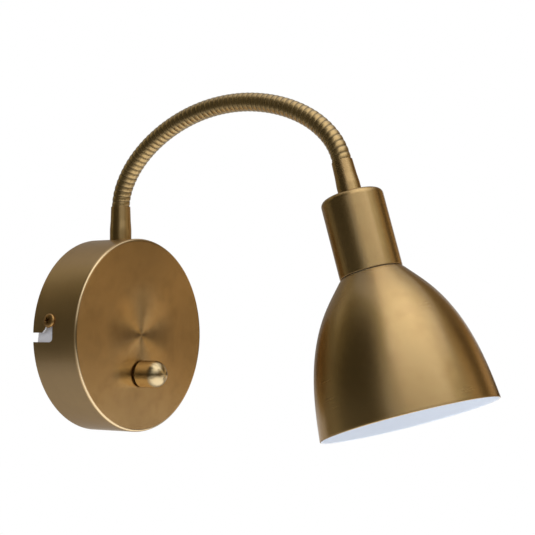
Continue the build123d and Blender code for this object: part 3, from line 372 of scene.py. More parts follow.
def spun_brass(name, frame_of_piece, look, colour, roughness, spread=1.0, side_reflection_colour=None):
    """Antique brass brushed round a turned piece's axis, under lacquer. With a side reflection colour it is the
    canopy's, whose side gets that greyer brass as painted reflection.
    """
    finish, bench = new_finish(name)
    place = object_place(bench, frame_of_piece)
    radius, height, cosine, sine = around(bench, place)
    lines = bench.vector(radius, height, cosine * 0.25)
    hairline = bench.noise(lines, 1.5, 2.0, 0.6, w=sine * 0.25)
    cloud = bench.noise(place, 0.03, 3.0, 0.55)
    patina = bench.noise(place, 0.12, 4.0, 0.6)
    base = bench.blend(patina.ease(0.40, 0.75) * 0.4, colour, look.patina_colour)
    if side_reflection_colour:
        # Painted reflection: the canopy's side is coloured a greyer brass than its front, standing in for the cooler
        # reflection there; the rubbed edge between them is wear
        side = radius.ease(CANOPY_RADIUS - 0.7, CANOPY_RADIUS - 0.1)
        rubbed = radius.ease(CANOPY_RADIUS - 1.4, CANOPY_RADIUS - 0.8) * (1.0 - side)
        base = bench.blend(rubbed, bench.blend(side, base, side_reflection_colour), look.worn_colour)
        spread = (1.0 - radius.ease(6.0, 34.0) * 0.75) * spread
        # Painted shade: the front's brass is darkened towards its middle, as the dark centre of its brushed reflection
        base = bench.tint(base, 0.62 + radius.ease(0.5, 6.0) * 0.38)
    base = bench.tint(base, 1.0 + (cloud - 0.5) * 0.16 + (patina - 0.5) * 0.08 + (hairline - 0.5) * 0.06)
    dull = roughness + (cloud - 0.5) * 0.06 + (hairline - 0.5) * 0.03
    if side_reflection_colour:
        dull = dull + side * 0.23
    surface, across = brush_directions(bench, frame_of_piece)
    shader, covered = None, 0.0
    for slope, share in GROOVES:
        lean = (hairline - 0.5) * 0.015 + spread * slope
        sockets = {
            "Base Color": base, "Metallic": 1.0, "Roughness": dull, "Normal": tipped(bench, surface, across, lean),
            "Specular Tint": BRASS_EDGE_TINT, "Coat Weight": look.lacquer, "Coat Roughness": 0.22,
            "Coat IOR": LACQUER_IOR,
        }
        grooves = bench.node("ShaderNodeBsdfPrincipled", None, sockets)
        covered += share
        mixed = {0: share / covered, 1: shader, 2: grooves}
        shader = bench.node("ShaderNodeMixShader", None, mixed) if shader else grooves
    bench.node("ShaderNodeOutputMaterial", None, {"Surface": shader})
    return finish


def wound_brass(look):
    """Antique brass of the wound hose: browned between its turns and rubbed bright on them."""
    finish, bench = new_finish("wound brass")
    place = bench.own_place()
    crest = bench.node("ShaderNodeAttribute", {"attribute_name": "crest"}, output=2)
    cloud = bench.noise(place, 60.0, 3.0, 0.6)
    grain = bench.noise(place, 900.0, 2.0, 0.6)
    rubbed = crest.ease(0.15, 0.85)
    deep = bench.tint(look.hose_colour, 0.42)
    base = bench.blend(rubbed, deep, look.hose_colour)
    base = bench.tint(base, 1.0 + (cloud - 0.5) * 0.3 + (grain - 0.5) * 0.12)
    dull = 0.46 - rubbed * 0.10 + (cloud - 0.5) * 0.10
    scratches = dent(bench, grain, 0.008, 0.5)
    shade_with(
        bench, Base_Color=base, Metallic=1.0, Roughness=dull, Normal=scratches,
        Coat_Weight=look.lacquer * 0.5, Coat_Roughness=0.3, Coat_IOR=LACQUER_IOR,
    )
    return finish


def plated(name, colour, roughness, mottle=0.12, scale=140.0, metallic=1.0, tint=None):
    """Plain plated or bare metal with a fine grain and slight clouding."""
    finish, bench = new_finish(name)
    place = bench.own_place()
    cloud = bench.noise(place, scale, 3.0, 0.6)
    grain = bench.noise(place, scale * 14, 2.0, 0.55)
    base = bench.blend((cloud - 0.35) * 1.4, colour, tint or colour)
    base = bench.tint(base, 1.0 + (cloud - 0.5) * mottle + (grain - 0.5) * mottle)
    dull = roughness + (cloud - 0.5) * 0.14
    shade_with(bench, Base_Color=base, Metallic=metallic, Roughness=dull, Normal=dent(bench, grain, 0.006, 0.4))
    return finish


def moulded(name, colour, roughness=0.42, grain_depth=0.012, coat=0.0, scatter=0.0):
    """Moulded plastic: an even colour with faint flow marks and an eroded, fine grain."""
    finish, bench = new_finish(name)
    place = bench.own_place()
    flow = bench.noise(place, 45.0, 2.0, 0.5)
    grain = bench.noise(place, 2600.0, 2.0, 0.6)
    base = bench.tint(colour, 1.0 + (flow - 0.5) * 0.05 + (grain - 0.5) * 0.03)
    dull = roughness + (flow - 0.5) * 0.08 + (grain - 0.5) * 0.06
    shade_with(
        bench, Base_Color=base, Roughness=dull, Normal=dent(bench, grain, grain_depth, 0.5),
        Coat_Weight=coat, Subsurface_Weight=scatter, Subsurface_Radius=(0.004, 0.004, 0.004),
    )
    return finish


def white_enamel(look):
    """The shade's stove-enamelled inside: faint orange peel and a soft gloss."""
    finish, bench = new_finish("white enamel")
    place = bench.own_place()
    peel = bench.noise(place, 420.0, 2.0, 0.45)
    cloud = bench.noise(place, 22.0, 2.0, 0.5)
    base = bench.tint(look.enamel_colour, 1.0 + (cloud - 0.5) * 0.04)
    dull = 0.30 + (cloud - 0.5) * 0.06
    shade_with(bench, Base_Color=base, Roughness=dull, Normal=dent(bench, peel, 0.03, 0.4), Coat_Weight=0.2)
    return finish


def circuit_board(name, mask_colour, trace_colour):
    """A printed board: tracks under the solder mask."""
    finish, bench = new_finish(name)
    place = bench.own_place()
    brick = {"offset": 0.5, "squash": 1.0}
    sockets = {
        "Vector": place, "Color1": (1, 1, 1, 1), "Color2": (1, 1, 1, 1), "Mortar": (0, 0, 0, 1),
        "Scale": 1.0, "Mortar Size": 0.00022, "Brick Width": 0.0042, "Row Height": 0.0016,
    }
    tracks = bench.node("ShaderNodeTexBrick", brick, sockets, output=1)
    cloud = bench.noise(place, 200.0, 2.0, 0.5)
    base = bench.tint(bench.blend(tracks, mask_colour, trace_colour), 1.0 + (cloud - 0.5) * 0.2)
    shade_with(bench, Base_Color=base, Roughness=0.32 + cloud * 0.1, Normal=dent(bench, tracks, 0.03, 0.5))
    return finish


def sheathing(name, colour, stripe=None):
    """Soft PVC over a wire, with a second colour spiralling along it if it has one."""
    finish, bench = new_finish(name)
    place = bench.own_place()
    scuff = bench.noise(place, 350.0, 3.0, 0.6)
    base = colour
    if stripe:
        x, y, z = bench.split(place)
        turns = (x * 260.0 + z * 95.0 + y * 260.0).fraction()
        base = bench.blend(turns.ease(0.60, 0.64), colour, stripe)
    base = bench.tint(base, 1.0 + (scuff - 0.5) * 0.12)
    shade_with(bench, Base_Color=base, Roughness=0.40 + (scuff - 0.5) * 0.15, Normal=dent(bench, scuff, 0.01, 0.4))
    return finish


# ----------------------------------------------------------------- Geometry Nodes trees
def new_tree(name, inputs):
    """A Geometry Nodes tree with these named inputs, {name: (socket type, default)}."""
    tree = bpy.data.node_groups.new(name, "GeometryNodeTree")
    tree.interface.new_socket("Geometry", in_out="INPUT", socket_type="NodeSocketGeometry")
    for title, (kind, default) in inputs.items():
        socket = tree.interface.new_socket(title, in_out="INPUT", socket_type=kind)
        if default is not None:
            socket.default_value = default
    tree.interface.new_socket("Geometry", in_out="OUTPUT", socket_type="NodeSocketGeometry")
    bench = Bench(tree)
    given = bench.node("NodeGroupInput")
    return tree, bench, given


def finish_tree(bench, geometry, finish, lining=None):
    """Ends a tree: real geometry, the finish, and the lining where the faces ask for it."""
    geometry = bench.node("GeometryNodeRealizeInstances", None, {"Geometry": geometry})
    geometry = bench.node("GeometryNodeSetMaterial", None, {"Geometry": geometry, "Material": finish})
    if lining is not None:
        sockets = {"Geometry": geometry, "Selection": bench.stored("lined").above(0.5), "Material": lining}
        geometry = bench.node("GeometryNodeSetMaterial", None, sockets)
    bench.node("NodeGroupOutput", None, {0: geometry})


def keep(bench, geometry, name, value, domain="POINT", kind="FLOAT"):
    """Stores a value on the geometry under a name."""
    settings = {"data_type": kind, "domain": domain}
    sockets = {"Geometry": geometry, "Name": name, "Value": value}
    return bench.node("GeometryNodeStoreNamedAttribute", settings, sockets)


def smooth_but_for_edges(bench, geometry, degrees):
    """Smooth shading that stays crisp where two faces meet at more than this angle."""
    geometry = bench.node("GeometryNodeSetShadeSmooth", {"domain": "FACE"}, {"Geometry": geometry})
    angle = bench.node("GeometryNodeInputMeshEdgeAngle")
    sockets = {"Geometry": geometry, "Selection": angle.above(math.radians(degrees)), "Shade Smooth": False}
    return bench.node("GeometryNodeSetShadeSmooth", {"domain": "EDGE"}, sockets)


def turning_tree():
    """Turns an outline, a chain of points at (radius, 0, height), about the z axis."""
    tree, bench, given = new_tree("Turned piece", {
        "Sides": ("NodeSocketInt", 128),
        "Flutes": ("NodeSocketInt", 0),
        "Flute Depth": ("NodeSocketFloat", 0.0),
        "Finish": ("NodeSocketMaterial", None),
        "Lining": ("NodeSocketMaterial", None),
    })
    outline = given.other("Geometry")
    rings = bench.node("GeometryNodeAttributeDomainSize", {"component": "MESH"}, {"Geometry": outline})
    grid = bench.node("GeometryNodeMeshGrid", None, {
        "Size X": 1.0, "Size Y": 1.0, "Vertices X": given.other("Sides") + 1.0, "Vertices Y": rings,
    })
    place = bench.node("GeometryNodeInputPosition")
    across, along, _ = bench.split(place)
    turn = across + 0.5
    ring = (along + 0.5) * (rings - 1.0)
    nearest = ring.math("FLOOR", ring + 0.01)

    def on_outline(value, kind):
        sockets = {"Geometry": outline, "Value": value, "Index": nearest}
        return bench.node("GeometryNodeSampleIndex", {"data_type": kind, "domain": "POINT"}, sockets)

    reach, _, height = bench.split(on_outline(place, "FLOAT_VECTOR"))
    lined = on_outline(bench.stored("lined"), "FLOAT")
    fluted = on_outline(bench.stored("fluted"), "FLOAT")
    unrolled = bench.vector(turn, height * 10.0, 0.0)
    mesh = keep(bench, grid, "Turned", unrolled, "CORNER", "FLOAT2")
    mesh = keep(bench, mesh, "lined", lined, "FACE")
    angle = turn * TAU
    radius = reach + fluted * given.other("Flute Depth") * (angle * given.other("Flutes")).cosine()
    turned = bench.vector(radius * angle.cosine(), radius * angle.sine(), height)
    mesh = bench.node("GeometryNodeSetPosition", None, {"Geometry": mesh, "Position": turned})
    mesh = bench.node("GeometryNodeMergeByDistance", None, {"Geometry": mesh, "Distance": 0.000001})
    mesh = smooth_but_for_edges(bench, mesh, 35.0)
    finish_tree(bench, mesh, given.other("Finish"), given.other("Lining"))
    return tree


def winding_tree():
    """Winds a hose's round turns about a centre line that lies in the plane x = 0."""
    tree, bench, given = new_tree("Wound hose", {
        "Start": ("NodeSocketFloat", 0.0),
        "Pitch": ("NodeSocketFloat", RIB_PITCH * MM),
        "Radius": ("NodeSocketFloat", 0.00515),
        "Groove": ("NodeSocketFloat", 0.0005),
        "Steps": ("NodeSocketInt", 50),
        "Sides": ("NodeSocketInt", 40),
        "Finish": ("NodeSocketMaterial", None),
    })
    line = bench.node("GeometryNodeMeshToCurve", None, {0: given.other("Geometry")})
    line = bench.node("GeometryNodeResampleCurve", None, {"Curve": line, "Count": given.other("Steps")})
    centre = bench.node("GeometryNodeInputPosition")
    length = bench.node("GeometryNodeSplineParameter", output="Length")
    line = keep(bench, line, "centre", centre, "POINT", "FLOAT_VECTOR")
    line = keep(bench, line, "run", length)
    line = keep(bench, line, "onward", bench.node("GeometryNodeInputTangent"), "POINT", "FLOAT_VECTOR")
    sockets = {"Resolution": given.other("Sides"), "Radius": given.other("Radius")}
    ring = bench.node("GeometryNodeCurvePrimitiveCircle", None, sockets)
    mesh = bench.node("GeometryNodeCurveToMesh", None, {"Curve": line, "Profile Curve": ring})

    vectors = bench.vectors
    axis = bench.stored("centre", "FLOAT_VECTOR")
    out = vectors("NORMALIZE", vectors("SUBTRACT", centre, axis))
    across = (1.0, 0.0, 0.0)
    up = vectors("CROSS_PRODUCT", bench.stored("onward", "FLOAT_VECTOR"), across)
    rise, side = [vectors("DOT_PRODUCT", out, way, output=1) for way in (up, across)]
    angle = axis.math("ARCTAN2", rise, side)
    turns = (given.other("Start") + bench.stored("run")) / given.other("Pitch") - angle / TAU
    crest = (turns.fraction() * math.pi).sine().at_least(0.0) ** 0.6
    reach = given.other("Radius") - given.other("Groove") * (1.0 - crest)
    arm = bench.scaled(out, reach)
    mesh = keep(bench, mesh, "crest", crest)
    sockets = {"Geometry": mesh, "Position": vectors("ADD", axis, arm)}
    mesh = bench.node("GeometryNodeSetPosition", None, sockets)
    mesh = bench.node("GeometryNodeSetShadeSmooth", {"domain": "FACE"}, {"Geometry": mesh})
    finish_tree(bench, mesh, given.other("Finish"))
    return tree


def fastener_tree():
    """Puts a fastener on each point, its axis along the point's own direction."""
    tree, bench, given = new_tree("Fasteners", {
        "Fastener": ("NodeSocketObject", None),
        "Finish": ("NodeSocketMaterial", None),
    })
    settings, sockets = {"transform_space": "ORIGINAL"}, {"Object": given.other("Fastener")}
    pattern = bench.node("GeometryNodeObjectInfo", settings, sockets, output="Geometry")
    facing = bench.stored("facing", "FLOAT_VECTOR")
    turn = bench.node("FunctionNodeAlignRotationToVector", {"axis": "Z"}, {"Vector": facing})
    sockets = {"Points": given.other("Geometry"), "Instance": pattern, "Rotation": turn}
    copies = bench.node("GeometryNodeInstanceOnPoints", None, sockets)
    finish_tree(bench, copies, given.other("Finish"))
    return tree


def new_object(name, data):
    """An object that holds this mesh, lamp or camera, linked to the scene."""
    made = bpy.data.objects.new(name, data)
    bpy.context.collection.objects.link(made)
    return made


def new_mesh(name, shape):
    """A mesh of a bmesh, which is used up."""
    mesh = bpy.data.meshes.new(name)
    put_back(shape, mesh)
    return mesh


def bmesh_of(mesh):
    """A bmesh to work on, which put_back() ends."""
    shape = bmesh.new()
    shape.from_mesh(mesh)
    return shape


def put_back(shape, mesh):
    """Writes a bmesh into a mesh and frees it."""
    shape.to_mesh(mesh)
    shape.free()


def grow(name, tree, points, edges, attributes=None, **inputs):
    """Runs a tree on a chain of points and returns the result as a plain mesh object."""
    chain = bpy.data.meshes.new(name + " chain")
    chain.from_pydata(points, edges, [])
    for title, (kind, values) in (attributes or {}).items():
        attribute = chain.attributes.new(title, kind, "POINT")
        field = "vector" if kind == "FLOAT_VECTOR" else "value"
        for item, value in zip(attribute.data, values):
            setattr(item, field, value)
    seed = new_object(name + " seed", chain)
    modifier = seed.modifiers.new(tree.name, "NODES")
    modifier.node_group = tree
    sockets = {item.name: item.identifier for item in tree.interface.items_tree if item.in_out == "INPUT"}
    for title, value in inputs.items():
        modifier[sockets[title.replace("_", " ")]] = value
    evaluated = seed.evaluated_get(bpy.context.evaluated_depsgraph_get())
    mesh = bpy.data.meshes.new_from_object(evaluated)
    bpy.data.objects.remove(seed)
    bpy.data.meshes.remove(chain)
    mesh.name = name
    return new_object(name, mesh)


# ----------------------------------------------------------- turned and plain pieces
CRISP_ANGLE = 32.0


def eased(corners, closed=True, steps=5, support=0.12):
    """An outline through (radius, height) corners. A corner with a third number is rounded by that radius."""
    outline = []
    count = len(corners)
    for place, corner in enumerate(corners):
        here = Vector(corner[:2])
        ends = not closed and place in (0, count - 1)
        if len(corner) < 3 or not corner[2] or ends:
            outline.append(here)
            continue
        before = here - Vector(corners[place - 1][:2])
        after = Vector(corners[(place + 1) % count][:2]) - here
        into, away = before.normalized(), after.normalized()
        turn = into.angle(away)
        reach = corner[2] * math.tan(turn / 2)
        side = 1 if into.x * away.y - into.y * away.x > 0 else -1
        inward = Vector((-into.y, into.x)) * side
        middle = here - into * reach + inward * corner[2]
        if before.length > reach + 2 * support:
            outline.append(here - into * (reach + support))
        for step in range(steps + 1):
            angle = turn * step / steps
            outline.append(middle - inward * corner[2] * math.cos(angle) + into * corner[2] * math.sin(angle))
        if after.length > reach + 2 * support:
            outline.append(here + away * (reach + support))
    return outline


def arc(centre, radius, start, end, steps):
    """Points of a round outline about a centre on the axis, from angle to angle off the axis in degrees."""
    angles = [math.radians(start + (end - start) * step / steps) for step in range(steps + 1)]
    return [(radius * math.sin(angle), centre + radius * math.cos(angle)) for angle in angles]


def turn_piece(name, outline, frame_of_piece, finish, sides, lining=None, lined=(), flutes=0, depth=0.0, beyond=0.0):
    """Turns a closed outline in millimetres and sets the piece in its place.

    The outline's points with the numbers in lined carry the lining, and those beyond a radius the flutes.
    """
    ring = [Vector(point[:2]) for point in outline]
    ring.append(ring[0].copy())
    points = [(max(point.x, 0) * MM, 0.0, point.y * MM) for point in ring]
    edges = [(index, index + 1) for index in range(len(points) - 1)]
    marks = {
        "lined": ("FLOAT", [float(index in lined) for index in range(len(ring))]),
        "fluted": ("FLOAT", [float(flutes > 0 and point.x > beyond) for point in ring]),
    }
    piece = grow(
        name, trees["turning"], points, edges, marks, Sides=sides, Flutes=flutes, Flute_Depth=depth * MM,
        Finish=finish, Lining=lining or finish,
    )
    piece.data.transform(frame_of_piece)
    face_outwards(piece)
    return piece


def face_outwards(piece):
    """Drops faces without area and turns the rest out of the piece's body."""
    shape = bmesh_of(piece.data)
    bmesh.ops.dissolve_degenerate(shape, dist=1e-7, edges=shape.edges)
    bmesh.ops.recalc_face_normals(shape, faces=shape.faces)
    put_back(shape, piece.data)


def crisp_edges(shape, degrees):
    """Smooth edges, but for open ones and those where faces meet at this angle or more."""
    for edge in shape.edges:
        edge.smooth = len(edge.link_faces) == 2 and edge.calc_face_angle(0) < math.radians(degrees)


def cut_away(piece, name, cutter, in_itself=False):
    """Takes the solids of a bmesh out of a piece. They may run into each other if it says so."""
    tool = new_object(name, new_mesh(name, cutter))
    cut = piece.modifiers.new(name, "BOOLEAN")
    cut.operation, cut.solver, cut.object = "DIFFERENCE", "EXACT", tool
    cut.use_self = in_itself
    applied(piece)
    bpy.data.objects.remove(tool)


def settle(piece, body, *nodes, slot=None):
    """Hands a finished piece to its body, in place of the frame's plain solids."""
    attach(piece, body)
    if nodes:
        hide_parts(*nodes)
    return piece


def body_of(node):
    """The body that the frame gives a node."""
    return next(name for name, nodes in frame["record"]["behaviour"]["bodies"].items() if node in nodes)


def slot_of(node):
    """The material slot that the frame gives a node."""
    return next(entry["material_slot"] for entry in frame["record"]["subparts"] if entry["node"] == node)


def fine_copy(node, finish, bevel=0.0):
    """A machined copy of a plain node: its flats made whole, its edges broken and its curves smooth."""
    shape = bmesh_of(frame["nodes"][node].data)
    bmesh.ops.remove_doubles(shape, verts=shape.verts, dist=2e-6)
    bmesh.ops.dissolve_limit(shape, angle_limit=math.radians(0.6), verts=shape.verts, edges=shape.edges)
    crisp_edges(shape, CRISP_ANGLE)
    for face in shape.faces:
        face.smooth = True
    piece = new_object(node + "_dressed", new_mesh(node + " dressed", shape))
    if bevel:
        rounding = piece.modifiers.new("broken edges", "BEVEL")
        rounding.width = bevel * MM
        rounding.segments = 2
        rounding.limit_method = "ANGLE"
        rounding.angle_limit = math.radians(40)
    keep_flats(piece)
    piece.data.materials.clear()
    piece.data.materials.append(finish)
    return settle(piece, body_of(node), node, slot=slot_of(node))


def keep_flats(piece):
    """Shades flat faces flat beside rounded ones, and makes the piece's modifiers part of its mesh."""
    piece.modifiers.new("flat faces stay flat", "WEIGHTED_NORMAL").keep_sharp = True
    applied(piece)


def applied(piece):
    """The piece with its modifiers made part of its mesh."""
    mesh = bpy.data.meshes.new_from_object(piece.evaluated_get(bpy.context.evaluated_depsgraph_get()))
    piece.modifiers.clear()
    piece.data = mesh
    return piece


# --------------------------------------------------------------- what a user may change
def length_setting(name, description, default):
    """A length in metres that a user may change."""
    return bpy.props.FloatProperty(name=name, description=description, default=default, unit="LENGTH", precision=5)


def colour_setting(name, description, default):
    """A linear colour that a user may change."""
    return bpy.props.FloatVectorProperty(name=name, description=description, default=default, subtype="COLOR")


def count_setting(name, description, default, least):
    """A number of faces that a user may change."""
    return bpy.props.IntProperty(name=name, description=description, default=default, min=least)


class LampSizes(bpy.types.PropertyGroup):
    """Sizes of the dressed pieces, in metres."""

    hose_radius: length_setting("Hose radius", "Over the hose's turns", 0.00515)
    hose_groove: length_setting("Hose groove", "Depth between two turns", 0.00033)
    hose_pitch: length_setting("Hose pitch", "From turn to turn", RIB_PITCH * MM)
    hose_sides: count_setting("Hose sides", "Faces round the hose", 40, 12)
    turned_sides: count_setting("Cup sides", "Faces round the cup", 160, 24)
    edge_break: length_setting("Broken edges", "Rounding of the plain fittings' edges", 0.00015)


class LampLook(bpy.types.PropertyGroup):
    """Colours and gloss of the finishes."""

    brass_colour: colour_setting("Brass", "Of the sleeves, cup and shade", (0.36, 0.242, 0.100))
    front_colour: colour_setting("Canopy front", "Redder brass of the canopy's front", (0.45, 0.30, 0.135))
    knob_colour: colour_setting("Knob brass", "Of the polished knob", (0.46, 0.36, 0.20))
    hose_colour: colour_setting("Hose brass", "Of the wound neck", (0.36, 0.25, 0.11))
    patina_colour: colour_setting("Patina", "Where the brass has browned", (0.28, 0.17, 0.065))
    # Painted reflection: the canopy's side is the same brass, made greyer here for what it mirrors
    side_reflection_colour: colour_setting("Canopy side", "Greyer brass of the canopy's side", (0.37, 0.25, 0.12))
    worn_colour: colour_setting("Worn edge", "Brass rubbed bare along the edge", (0.52, 0.40, 0.24))
    enamel_colour: colour_setting("Enamel", "Inside the shade", linear(226, 232, 242))
    lacquer: bpy.props.FloatProperty(
        name="Lacquer", description="Clear coat over the brass", default=0.5, min=0.0, max=1.0
    )


trees = {}
finishes = {}


# ------------------------------------------------------------------ one step per piece
class LAMP_OT_prepare(bpy.types.Operator):
    """Mixes the finishes and builds the shaping trees"""

    bl_idname = "lamp.prepare"
    bl_label = "Prepare Finishes"

    def execute(self, context):
        look = context.scene.lamp_look
        trees["turning"] = turning_tree()
        trees["winding"] = winding_tree()
        trees["fasteners"] = fastener_tree()
        brass = look.brass_colour
        finishes.update({
            "canopy": spun_brass("brushed canopy brass", WALL, look, look.front_colour, 0.19, 1.35, look.side_reflection_colour),
            "knob": spun_brass("polished knob brass", KNOB, look, look.knob_colour, 0.22, 0.5),
            "stem": spun_brass("stem brass", STEM, look, brass, 0.29, 0.6),
            "head": spun_brass("satin head brass", HEAD, look, brass, 0.26, 0.9),
            "hose": wound_brass(look),
            "screw": plated("browned screw brass", linear(150, 116, 70), 0.34),
            "enamel": white_enamel(look),
            "zinc": plated("zinc plate", linear(236, 236, 244), 0.5, metallic=0.2, tint=linear(222, 224, 234)),
            "bare brass": plated("bare brass", linear(205, 170, 96), 0.30),
            "nickel": plated("nickel plate", linear(200, 196, 186), 0.25),
            "solder": plated("solder", linear(170, 170, 172), 0.42, mottle=0.3),
            "white": moulded("white plastic", linear(228, 228, 224)),
            "ivory": moulded("ivory plastic", linear(218, 216, 208), 0.46),
            "black": moulded("black plastic", linear(34, 34, 35), 0.5),
            "opal": moulded("opal plastic", linear(238, 239, 240), 0.34, 0.006, scatter=0.3),
            "ceramic": moulded("glazed ceramic", linear(226, 222, 212), 0.22, 0.02, coat=0.5),
            "board": circuit_board("green board", linear(20, 84, 44), linear(60, 128, 66)),
            "led board": circuit_board("white board", linear(232, 234, 236), linear(210, 214, 218)),
            "white sheath": sheathing("white sheath", linear(226, 226, 222)),
            "blue": sheathing("blue insulation", linear(42, 96, 190)),
            "brown": sheathing("brown insulation", linear(110, 66, 38)),
            "green and yellow": sheathing("green and yellow insulation", linear(70, 150, 60), linear(222, 206, 60)),
        })
        return {"FINISHED"}


class LAMP_OT_canopy(bpy.types.Operator):
    """Canopy: spun cover with a rounded edge, hanging slots and the holes for sleeve and dimmer"""

    bl_idname = "lamp.canopy"
    bl_label = "Canopy"

    # How far past the cover's edge a slot's cutter starts, and from where to where across the lamp it reaches
    PAST_EDGE = -3.0
    SLOT_REACH = (46, 60)
    HOLE_SIDES = 64

    def execute(self, context):
        outline = eased([
            (0.0, CANOPY_DEPTH), (CANOPY_RADIUS, CANOPY_DEPTH, 1.5), (CANOPY_RADIUS, 0.0, 0.25),
            (CANOPY_RADIUS - 1, 0.0, 0.25), (CANOPY_RADIUS - 1, CANOPY_DEPTH - 1, 0.5), (0.0, CANOPY_DEPTH - 1),
        ], steps=8)
        cover = turn_piece("canopy_cover_spun", outline, WALL, finishes["canopy"], sides=256)
        openings = bmesh.new()
        for side in (-1, 1):
            self.cut_slot(openings, side)
        self.cut_hole(openings, STEM_HOLE, Vector((0, -STEM_DEPTH, CANOPY_RADIUS - 6)), Vector((0, 0, 1)), 10)
        self.cut_hole(openings, DIMMER_HOLE, Vector((0, -CANOPY_DEPTH + 3, -KNOB_DROP)), Vector((0, -1, 0)), 6)
        cut_away(cover, "canopy openings", openings)
        shape = bmesh_of(cover.data)
        crisp_edges(shape, CRISP_ANGLE)
        for face in shape.faces:
            face.smooth = True
        put_back(shape, cover.data)
        keep_flats(cover)
        settle(cover, "wall_base", "canopy_cover", slot="brushed_brass")
        return {"FINISHED"}

    def cut_slot(self, shape, side):
        """The L-shaped slot: in from the wall's side, then up to the screw, with an eased bend."""
        half, bend, chamfer = SLOT_WIDTH / 2, SLOT_BEND, SLOT_CHAMFER
        entry = SCREW_HEIGHT - SLOT_DROP
        angles = [math.radians(15 * step) for step in range(13)]
        path = [(self.PAST_EDGE, entry - half), (SCREW_DEPTH + half - bend, entry - half)]
        path += [
            (SCREW_DEPTH + half - bend + bend * math.sin(a), entry - half + bend - bend * math.cos(a))
            for a in angles[1:7]
        ]
        path += [(SCREW_DEPTH + half * math.cos(a), SCREW_HEIGHT + half * math.sin(a)) for a in angles]
        path += [(SCREW_DEPTH - half, entry + half + chamfer), (SCREW_DEPTH - half - chamfer, entry + half)]
        path += [(self.PAST_EDGE, entry + half)]
        near, far = [
            [shape.verts.new(Vector((side * reach, -depth, height)) * MM) for depth, height in path]
            for reach in self.SLOT_REACH
        ]
        self.wall_between(shape, near, far)

    def cut_hole(self, shape, radius, origin, along, length):
        """A round hole of this length along a direction from its origin."""
        across = along.orthogonal().normalized()
        beside = along.cross(across)
        angles = [TAU * step / self.HOLE_SIDES for step in range(self.HOLE_SIDES)]
        rim = [across * math.cos(a) * radius + beside * math.sin(a) * radius for a in angles]
        near = [shape.verts.new((origin + point) * MM) for point in rim]
        far = [shape.verts.new((origin + along * length + point) * MM) for point in rim]
        self.wall_between(shape, near, far)

    def wall_between(self, shape, near, far):
        """Closes two like rings of points to one solid."""
        faces = [shape.faces.new(near), shape.faces.new(list(reversed(far)))]
        for index, vert in enumerate(near):
            follow = (index + 1) % len(near)
            faces.append(shape.faces.new((near[follow], vert, far[index], far[follow])))
        bmesh.ops.recalc_face_normals(shape, faces=faces)


class LAMP_OT_knob(bpy.types.Operator):
    """Dimmer knob: a polished barrel with a ball end, hollow behind"""

    bl_idname = "lamp.knob"
    bl_label = "Knob"

    def execute(self, context):
        outline = eased([
            (6.35, 5.0, 0.3), (6.35, 0.0, 0.3), (KNOB_RADIUS, 0.0, 0.45), (KNOB_RADIUS, KNOB_BARREL - 0.2),
        ])
        outline += reversed(arc(KNOB_BARREL, KNOB_RADIUS, 0, 90, 28))
        outline += [(0.0, 10.0), (2.0, 10.0), (2.0, 5.0)]
        knob = turn_piece("dimmer_knob_turned", outline, KNOB, finishes["knob"], sides=96)
        settle(knob, "knob", "dimmer_knob", slot="polished_brass")
        return {"FINISHED"}


class LAMP_OT_sleeves(bpy.types.Operator):
    """Sleeves: the two turned ferrules that hold the neck's ends"""

    bl_idname = "lamp.sleeves"
    bl_label = "Sleeves"

    def outline(self, foot):
        """A sleeve's outline from this height of its foot."""
        return eased([
            (STEM_HOLE, foot), (6.2, foot, 0.15 if foot == 0 else 0), (6.2, 6.0, 25.0), (5.82, 10.8, 25.0),
            (5.55, SLEEVE_LENGTH, 0.18), (5.2, SLEEVE_LENGTH), (5.2, 6.6), (3.2, 6.6), (3.2, 5.0), (STEM_HOLE, 5.0),
        ])

    def execute(self, context):
        lower = turn_piece("base_sleeve_turned", self.outline(-1.0), STEM, finishes["stem"], sides=96)
        for vert in lower.data.vertices:
            x, _, z = vert.co
            if z < (CANOPY_RADIUS - 0.5) * MM:
                vert.co.z = math.sqrt((CANOPY_RADIUS * MM) ** 2 - x * x)
        settle(lower, "wall_base", "base_sleeve", slot="satin_brass")
        upper = turn_piece("head_sleeve_turned", self.outline(0.0), HEAD_FOOT, finishes["head"], sides=96)
        settle(upper, "lamp_head", "head_sleeve", slot="satin_brass")
        return {"FINISHED"}


